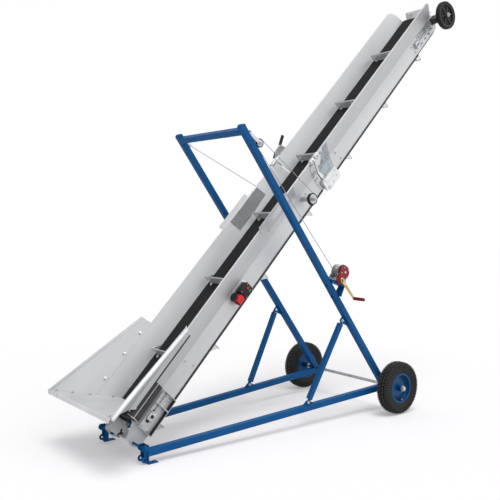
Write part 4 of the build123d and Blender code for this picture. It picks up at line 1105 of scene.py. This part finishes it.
def makeHeadWheels():
    # A moulded wheel: tread band, rim, six tapered spokes and a hub with a bright cap.
    r, half = head["wheelRadius"], head["wheelHalf"]
    wheel = bmesh.new()
    tyre = [
        (r - 0.020, -half + 0.003), (r - 0.006, -half), (r - 0.001, -half + 0.006), (r, 0.0),
        (r - 0.001, half - 0.006), (r - 0.006, half), (r - 0.020, half - 0.003),
    ]
    stamp(wheel, latheShape(tyre, 56))
    rim = [
        (r - 0.032, -half + 0.006), (r - 0.020, -half + 0.004), (r - 0.019, 0.0), (r - 0.020, half - 0.004),
        (r - 0.032, half - 0.006), (r - 0.030, 0.0),
    ]
    stamp(wheel, latheShape(rim, 56), None, 1)
    hub = [
        (0.0104, -half), (0.019, -half), (0.024, -half + 0.004), (0.026, 0.0), (0.024, half - 0.004),
        (0.019, half), (0.0104, half),
    ]
    stamp(wheel, latheShape(hub, 36), None, 1)
    reach = r - 0.030 - 0.022
    spoke = bmesh.new()
    bmesh.ops.create_cube(spoke, size=1.0)
    bmesh.ops.scale(spoke, vec=(reach, 0.017, 0.024), verts=spoke.verts)
    for vert in spoke.verts:
        if vert.co.x > 0:
            vert.co.y *= 0.72
            vert.co.z *= 0.80
    soften(spoke, 0.003, 3)
    for k in range(head["spokes"]):
        turn = turned(360 * (k + 0.5) / head["spokes"])
        stamp(wheel, spoke, turn @ move((0.022 + reach / 2, 0, 0)), 1)
    rib = blockShape((0.0022, 0.0030, half * 1.5), 0.0008, 1)
    for k in range(head["ribs"]):
        stamp(wheel, rib, turned(360 * k / head["ribs"]) @ move((r - 0.0014, 0, 0)))
    web = [(0.020, -0.004), (r - 0.026, -0.003), (r - 0.026, 0.003), (0.020, 0.004)]
    stamp(wheel, latheShape(web, 48))
    for way, side in sideName.items():
        mesh = bmesh.new()
        place = placed((head["wheelAt"], way * head["wheelY"], head["wheelHigh"]), (0, 1, 0))
        stampLooks(mesh, wheel, place)
        body, node, looks = side + "_head_wheel_body", side + "_head_wheel", ["tyreRubber", "wheelPlastic"]
        addPiece(side + "HeadWheel", mesh, body, looks, boomTurn, (node,), 40)
    caps = bmesh.new()
    for way in (-1, 1):
        outer = way * (head["wheelY"] + half + 0.010)
        stamp(caps, boltShape(0.019), placed((head["wheelAt"], outer, head["wheelHigh"]), (0, way, 0)))
    addPiece("headWheelCaps", caps, "upper_boom", ["zincHardware"], boomTurn)


makeHeadFittings()
makeHeadWheels()


# Lifting crossbar: cheeks, grooved sheaves and black guard hooks
lift = {
    "at": 2.144, "high": 0.097, "half": 0.236, "sheaveRadius": 0.040, "sheaveWidth": 0.022, "hooks": (205, 330),
}


def makeLiftFittings():
    side = bmesh.new()
    r, w = lift["sheaveRadius"], lift["sheaveWidth"] / 2
    middle, outer = lift["half"] + 0.005 + w, lift["half"] + 0.005 + lift["sheaveWidth"]
    groove = [
        (r - 0.004, -w), (r + 0.004, -w), (r + 0.004, -w + 0.003), (r + 0.0005, -0.003), (r + 0.0005, 0.003),
        (r + 0.004, w - 0.003), (r + 0.004, w), (r - 0.004, w),
    ]
    cheek = [(0.022, 0.0), (0.034, 0.0), (0.034, 0.002), (0.022, 0.002)]
    for y, shape, paint in (
        (middle, latheShape(groove, 44), 1), (outer, latheShape(cheek, 36), 0),
        (outer + 0.0225, boltShape(0.018), 0),
    ):
        stamp(side, shape, placed((lift["at"], y, lift["high"]), (0, 1, 0)), paint)
    for turn in lift["hooks"]:
        arc = arcPoints((lift["at"], middle, lift["high"]), r + 0.009, turn - 34, turn + 34, 12)
        stamp(side, tubeShape(arc, 0.0032), None, 1)
    addPiece("liftFittings", onBothSides(side), "lower_boom", ["zincHardware", "blackPlastic"], boomTurn)


makeLiftFittings()
print("head and lifting crossbar ready")


# Wheels: treaded tyres, rim fittings, valve and axle nuts
wheel = {
    "x": 2.076 + shiftX, "y": 0.529, "z": 0.200, "shoulderRibs": 60, "centreBlocks": 44,
    "holes": 4, "holeAt": 0.074, "holeRadius": 0.013, "hub": 0.050, "webs": 8, "valveTurn": -112,
}


def makeTyreShape():
    mesh = bmesh.new()
    side = [
        (0.1085, -0.032), (0.114, -0.0385), (0.122, -0.0405), (0.128, -0.0432), (0.136, -0.0462),
        (0.150, -0.0482), (0.165, -0.0478), (0.176, -0.0452), (0.185, -0.0408), (0.1905, -0.0340),
        (0.1935, -0.0262),
        (0.1900, -0.0245), (0.1900, -0.0215), (0.1955, -0.0200), (0.1972, -0.0060), (0.1925, -0.0048),
    ]
    profile = side + [(radius, -along) for radius, along in reversed(side)]
    stamp(mesh, latheShape(profile, 96))
    rib = blockShape((0.034, 0.0062, 0.0090), 0.0012, 1)
    block = blockShape((0.006, 0.0150, 0.0135), 0.0014, 1)
    knob = blockShape((0.0065, 0.0105, 0.0120), 0.0014, 1)
    ribs, blocks = wheel["shoulderRibs"], wheel["centreBlocks"]
    # The ribs, blocks and knobs take the lighter rubber: painted highlight where they catch the light.
    for count, late, sided, shape, radius, out, lean, axis in (
        (ribs, 0, 0, rib, 0.1770, 0.0456, 27, "Y"), (blocks, 0, 0.25, block, 0.1958, 0.0130, 22, "X"),
        (ribs, 0.5, 0, knob, 0.1915, 0.0315, 34, "Y"),
    ):
        for k in range(count):
            for way in (-1, 1):
                turn = turned(360 * (k + late + sided * way) / count)
                stamp(mesh, shape, turn @ move((radius, 0, way * out)) @ turned(lean * way, axis), 1)
    return mesh


def makeRimFittings():
    # Seen from outside: a raised ring, dark round holes, a bright hub end and the valve.
    mesh = bmesh.new()
    face = 0.0100
    ring = [(0.086, 0.009), (0.091, 0.010), (0.092, 0.014), (0.089, 0.016), (0.086, 0.013)]
    stamp(mesh, latheShape(ring, 56))
    r = wheel["holeRadius"]
    lipRing = latheShape([(r, 0.0), (r + 0.003, 0.0), (r + 0.0022, 0.0036), (r, 0.0040)], 28)
    for k in range(wheel["holes"]):
        turn = 2 * pi * (k + 0.5) / wheel["holes"]
        spot = (wheel["holeAt"] * cos(turn), wheel["holeAt"] * sin(turn), face - 0.001)
        stamp(mesh, rodShape(r, 0.0022, 24, 0.0004), move(spot), 2)
        stamp(mesh, lipRing, move(spot))
    web = blockShape((0.030, 0.004, 0.004), 0.0015, 2)
    for k in range(wheel["webs"]):
        stamp(mesh, web, turned(360 * k / wheel["webs"]) @ move((0.042, 0, 0.0115)))
    hubEnd = latheShape([(0.0135, 0.0), (0.0225, 0.0), (0.0222, 0.003), (0.0190, 0.0045), (0.0135, 0.0045)], 36)
    stamp(mesh, hubEnd, move((0, 0, wheel["hub"])), 1)
    turn = radians(wheel["valveTurn"])
    root = Vector((0.094 * cos(turn), 0.094 * sin(turn), 0.022))
    stem = placed(root, (-0.35 * cos(turn), -0.35 * sin(turn), 0.9))
    stamp(mesh, rodShape(0.0052, 0.020, 14, 0.001, 0.0040), stem, 2)
    stamp(mesh, rodShape(0.0043, 0.008, 12, 0.0012), stem @ move((0, 0, 0.020)), 1)
    return mesh


def makeWheels():
    tyre = makeTyreShape()
    fittings = makeRimFittings()
    for way, side in sideName.items():
        centre = (wheel["x"], way * wheel["y"], wheel["z"])
        mesh = bmesh.new()
        stampLooks(mesh, tyre, placed(centre, (0, way, 0)))
        looks = ["tyreRubber", "treadHighlightRubber"]
        addPiece(side + "Tyre", mesh, side + "_wheel", looks, None, (side + "_tyre",), 40)
        mesh = bmesh.new()
        stampLooks(mesh, fittings, placed(centre, (0, way, 0), 20 if way < 0 else 65))
        addPiece(side + "RimFittings", mesh, side + "_wheel", ["rimBlue", "zincHardware", "blackPlastic"])
    nuts = bmesh.new()
    end = wheel["y"] + wheel["hub"] + 0.011
    for way in (-1, 1):
        spot = placed((wheel["x"], way * (end - 0.001), wheel["z"]), (0, way, 0))
        stamp(nuts, rodShape(0.0165, 0.009, 6, 0.0015), spot)
        pin = placed((wheel["x"], way * (end - 0.003), wheel["z"]), (1, 0, 0))
        stamp(nuts, rodShape(0.0022, 0.044, 10, 0.0005), pin @ move((0, 0, -0.022)))
    addPiece("axleNuts", nuts, "chassis", ["zincHardware"])


makeWheels()
print("wheels ready")


# Mast: a point beside the sloping upright, a distance up it from the axle and out from its middle
mast = {"topX": 0.658, "topZ": 2.123, "footX": 2.076, "footZ": 0.200, "y": 0.380, "tube": 0.045}
mastRun = Vector((mast["topX"] - mast["footX"], 0, mast["topZ"] - mast["footZ"])).normalized()


def mastPoint(along, out, y):
    base = Vector((mast["footX"] + shiftX, y, mast["footZ"]))
    return base + mastRun * along + Vector((mastRun.z, 0, -mastRun.x)) * out


# Winch on the near upright
winch = {
    "x": 1.580 + shiftX, "y": 0.390, "z": 1.112, "drum": 0.038, "drumHalf": 0.032, "rope": 0.0027,
    "turns": 10, "secondTurns": 4, "ratchet": 0.055, "teeth": 16,
    "coverOut": 0.444, "coverIn": 0.430, "cover": 0.050,
    "crankX": 1.535 + shiftX, "crankZ": 1.057, "crankCover": 0.032, "crankOut": 0.449,
    "endX": 1.663 + shiftX, "endZ": 0.913, "gripLength": 0.100, "gripRadius": 0.013,
}


def toothedPoints(radius, depth, count, x, z):
    points = []
    for k in range(count):
        for share, r in ((0.0, radius - depth), (0.72, radius), (0.80, radius)):
            turn = 2 * pi * (k + share) / count
            points.append((x + r * cos(turn), z + r * sin(turn)))
    return points


def lobedPoints(radius, small, x, z, endX, endZ, count=18):
    # The outline round two discs, as a belt would run round them.
    heading = atan2(endZ - z, endX - x)
    lean = atan2(hypot(endX - x, endZ - z), radius - small)
    points = []
    for centreX, centreZ, r, start, end in (
        (x, z, radius, heading + lean, heading + 2 * pi - lean),
        (endX, endZ, small, heading - lean, heading + lean),
    ):
        for k in range(count + 1):
            turn = start + (end - start) * k / count
            points.append((centreX + r * cos(turn), centreZ + r * sin(turn)))
    return points


def makeWinch():
    x, y, z = winch["x"], -winch["y"], winch["z"]
    coils = bmesh.new()
    r = winch["drum"] + winch["rope"]
    reach = winch["drumHalf"] - 0.006
    perTurn = 28
    # A full first layer of coils and the start of a second on top of it.
    for r, turns, width in (
        (r, winch["turns"], 2 * reach), (r + 1.7 * winch["rope"], winch["secondTurns"], reach)
    ):
        steps = turns * perTurn
        around = [2 * pi * k / perTurn for k in range(steps + 1)]
        helix = [(x + r * cos(t), y - reach + width * k / steps, z + r * sin(t)) for k, t in enumerate(around)]
        stamp(coils, tubeShape(helix, winch["rope"]))
    addPiece("winchCoils", coils, "chassis", ["ropeSteel"])

    gear = bmesh.new()
    disc = plateShape(toothedPoints(winch["ratchet"], 0.006, winch["teeth"], x, z), 0.005, 0.0004)
    stamp(gear, disc, move((0, y - winch["drumHalf"] - 0.0055, 0)))
    pawl = plateShape(
        [(x - 0.020, z - 0.052), (x - 0.006, z - 0.046), (x - 0.022, z - 0.074), (x - 0.034, z - 0.078)], 0.006
    )
    stamp(gear, pawl, move((0, y - winch["drumHalf"] - 0.006, 0)))
    for right, up in ((0.026, 0.018), (-0.024, 0.016), (0.030, -0.020)):
        spacer = placed((x + right, -winch["coverIn"] + 0.001, z + up), (0, -1, 0))
        stamp(gear, rodShape(0.006, 0.003, 14, 0.0006), spacer, 1)
    far = placed((x, y + winch["drumHalf"] + 0.008, z), (0, 1, 0))
    stamp(gear, boltShape(0.019), far, 1)
    addPiece("winchRatchet", gear, "chassis", ["blackPlastic", "zincHardware"])

    cover = bmesh.new()
    for inset, thick, edge, out in (
        (0, winch["coverIn"] - winch["coverOut"], 0.004, -winch["coverIn"]),
        (0.009, -0.0024, 0.001, -winch["coverOut"] + 0.0006),
    ):
        big, small = winch["cover"] - inset, winch["crankCover"] - inset
        outline = lobedPoints(big, small, x, z, winch["crankX"], winch["crankZ"])
        stamp(cover, plateShape(outline, thick, edge), move((0, out, 0)))
    face = -winch["coverOut"] - 0.0016
    stamp(cover, rodShape(0.0150, 0.0012, 6, 0.0003), placed((x, face + 0.0002, z), (0, -1, 0)), 1)
    stamp(cover, rodShape(0.0095, 0.0030, 20, 0.0008), placed((x, face, z), (0, -1, 0)), 2)
    for turn in (20, 100, 180):
        spot = (x + 0.036 * cos(radians(turn)), face, z + 0.036 * sin(radians(turn)))
        stamp(cover, rodShape(0.0042, 0.0022, 14, 0.0007), placed(spot, (0, -1, 0)), 2)
    shaft = placed((winch["crankX"], -winch["coverOut"], winch["crankZ"]), (0, -1, 0))
    stamp(cover, rodShape(0.0078, 0.026, 18, 0.001), shaft, 2)
    looks = ["redPaint", "blackPlastic", "zincHardware"]
    addPiece("winchCover", cover, "chassis", looks, None, ("winch_cover",))


def makeCrank():
    mesh = bmesh.new()
    start = Vector((winch["crankX"], 0, winch["crankZ"]))
    end = Vector((winch["endX"], 0, winch["endZ"]))
    run = (end - start).normalized()
    wide = Vector((-run.z, 0, run.x))
    out = -winch["crankOut"]
    corners = [start + wide * 0.0125, end + wide * 0.0085, end - wide * 0.0085, start - wide * 0.0125]
    arm = plateShape([(c.x, c.z) for c in corners], 0.0075, 0.0018)
    stamp(mesh, arm, move((0, out - 0.012, 0)))
    boss = latheShape(
        [(0.0083, 0.0), (0.0185, 0.0), (0.0190, 0.002), (0.0190, 0.014), (0.0165, 0.0175), (0.0083, 0.0175)], 36
    )
    stamp(mesh, boss, placed((start.x, out, start.z), (0, -1, 0)))
    endBoss = latheShape([(0.0, 0.0), (0.0115, 0.0), (0.0125, 0.002), (0.0125, 0.009), (0.0, 0.009)], 28)
    stamp(mesh, endBoss, placed((end.x, out - 0.0035, end.z), (0, -1, 0)))
    stamp(mesh, rodShape(0.0128, 0.0010, 24, 0.0003), placed((start.x, out - 0.0172, start.z), (0, -1, 0)), 2)
    stamp(mesh, boltShape(0.015, False), placed((start.x, out - 0.0178, start.z), (0, -1, 0)), 1)
    addPiece("crankArm", mesh, "crank", ["yellowZinc", "zincHardware", "blackPlastic"], None, ("crank_arm",))
    grip = bmesh.new()
    r, length = winch["gripRadius"], winch["gripLength"]
    profile = [(0.0, 0.0), (r - 0.003, 0.0), (r - 0.0005, 0.003)]
    for k in range(7):
        at = 0.012 + k * 0.0125
        profile += [(r - 0.0004, at), (r - 0.0022, at + 0.002), (r - 0.0004, at + 0.004)]
    profile += [(r - 0.001, length - 0.006), (r - 0.005, length - 0.001), (0.0, length)]
    stamp(grip, latheShape(profile, 28), placed((end.x, out - 0.012, end.z), (0, -1, 0)))
    addPiece("crankGrip", grip, "crank", ["gripRed"], None, ("crank_grip",))


makeWinch()
makeCrank()
print("winch ready")


# Ropes: stranded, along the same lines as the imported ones
rope = {"radius": 0.0026, "groove": 0.0008, "strands": 6, "pitch": 0.040, "ringsPerTurn": 8}


def ropeEnds(node, rising):
    # The two ends of a straight rope from its box; rising is True where Y grows as the rope goes down.
    low, high = (Vector(corner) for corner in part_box(node))
    inset = rope["radius"] * 0.8
    firstY, lastY = (low.y, high.y) if rising else (high.y, low.y)
    way = 1 if rising else -1
    if high.y - low.y < 0.008:
        firstY = lastY = (low.y + high.y) / 2
        way = 0
    first = Vector((low.x + inset, firstY + way * inset, high.z - inset))
    last = Vector((high.x - inset, lastY - way * inset, low.z + inset))
    return first, last


def ropeShape(first, last):
    mesh = bmesh.new()
    sides = rope["strands"] * 2
    made = bmesh.ops.create_circle(mesh, cap_ends=False, segments=sides, radius=rope["radius"])
    for k, vert in enumerate(made["verts"]):
        if k % 2:
            vert.co *= 1 - rope["groove"] / rope["radius"]
    length = (last - first).length
    rings = max(4, round(length / rope["pitch"] * rope["ringsPerTurn"]))
    edges = mesh.edges[:]
    step = length / rings
    for _ in range(rings):
        grown = bmesh.ops.extrude_edge_only(mesh, edges=edges)["geom"]
        verts = [g for g in grown if isinstance(g, bmesh.types.BMVert)]
        edges = [g for g in grown if isinstance(g, bmesh.types.BMEdge)]
        edges = [e for e in edges if e.verts[0] in verts and e.verts[1] in verts]
        bmesh.ops.translate(mesh, vec=(0, 0, step), verts=verts)
        bmesh.ops.rotate(
            mesh, cent=(0, 0, 0), matrix=Matrix.Rotation(2 * pi / rope["ringsPerTurn"], 3, "Z"), verts=verts
        )
    closeHoles(mesh)
    bmesh.ops.transform(mesh, matrix=placed(first, last - first), verts=mesh.verts)
    return mesh


def makeRopes():
    for name, node, rising in (
        ("winchRope", "winch_rope", False), ("nearLiftRope", "near_lift_rope", True),
        ("farLiftRope", "far_lift_rope", False),
    ):
        first, last = ropeEnds(node, rising)
        body = {"between": ("chassis", "lower_boom"), "start": first, "end": last}
        if name == "winchRope":
            body = "chassis"
        addPiece(name, ropeShape(first, last), body, ["ropeSteel"], None, (node,), 60)


makeRopes()


# Chassis fittings: strut bolts, pivot heads, mast block and eyes, winch bracket bolts
chassis = {
    "strutLow": (1.296, 0.3411, 0.174), "strutTop": (1.610, 0.380, 0.745), "pivot": (-0.028, 0.098),
    "sheaveAlong": 2.222, "sheaveOut": 0.066, "sheave": 0.028, "eyeAlong": 2.326, "eyeOut": 0.0315,
}


def makeChassisFittings():
    mesh = bmesh.new()
    for x, y, z in (chassis["strutLow"], chassis["strutTop"]):
        for way in (-1, 1):
            for out in (1, -1):
                spot = (x + shiftX, way * (y + out * 0.009), z)
                stamp(mesh, boltShape(0.013), placed(spot, (0, way * out, 0)))
    x, z = chassis["pivot"]
    for way in (-1, 1):
        stamp(mesh, boltShape(0.022), placed((x + shiftX, way * 0.297, z), (0, way, 0)), 2)
    for along in (0.925, 1.030):
        spot = placed(mastPoint(along, -mast["tube"] / 2, -mast["y"]), (-mastRun.z, 0, mastRun.x))
        stamp(mesh, boltShape(0.015), spot, 2)
    centre = mastPoint(chassis["sheaveAlong"], chassis["sheaveOut"], -mast["y"])
    r = chassis["sheave"]
    groove = [
        (r - 0.004, -0.006), (r + 0.003, -0.006), (r + 0.003, -0.0045), (r + 0.0004, -0.0022),
        (r + 0.0004, 0.0022), (r + 0.003, 0.0045), (r + 0.003, 0.006), (r - 0.004, 0.006),
    ]
    for way in (-1, 1):
        stamp(mesh, boltShape(0.017), placed(centre + Vector((0, way * 0.010, 0)), (0, way, 0)))
        stamp(mesh, latheShape(groove, 36), placed(centre, (0, 1, 0)), 1)
    ring = [(0.0112, -0.003), (0.0172, -0.003), (0.0184, 0.0), (0.0172, 0.003), (0.0112, 0.003)]
    for way in (-1, 1):
        eye = mastPoint(chassis["eyeAlong"], chassis["eyeOut"], way * mast["y"])
        stamp(mesh, latheShape(ring, 32), placed(eye, (0, 1, 0)))
    addPiece("chassisFittings", mesh, "chassis", ["zincHardware", "blackPlastic", "bluePaint"])


makeChassisFittings()
print("ropes and chassis fittings ready")
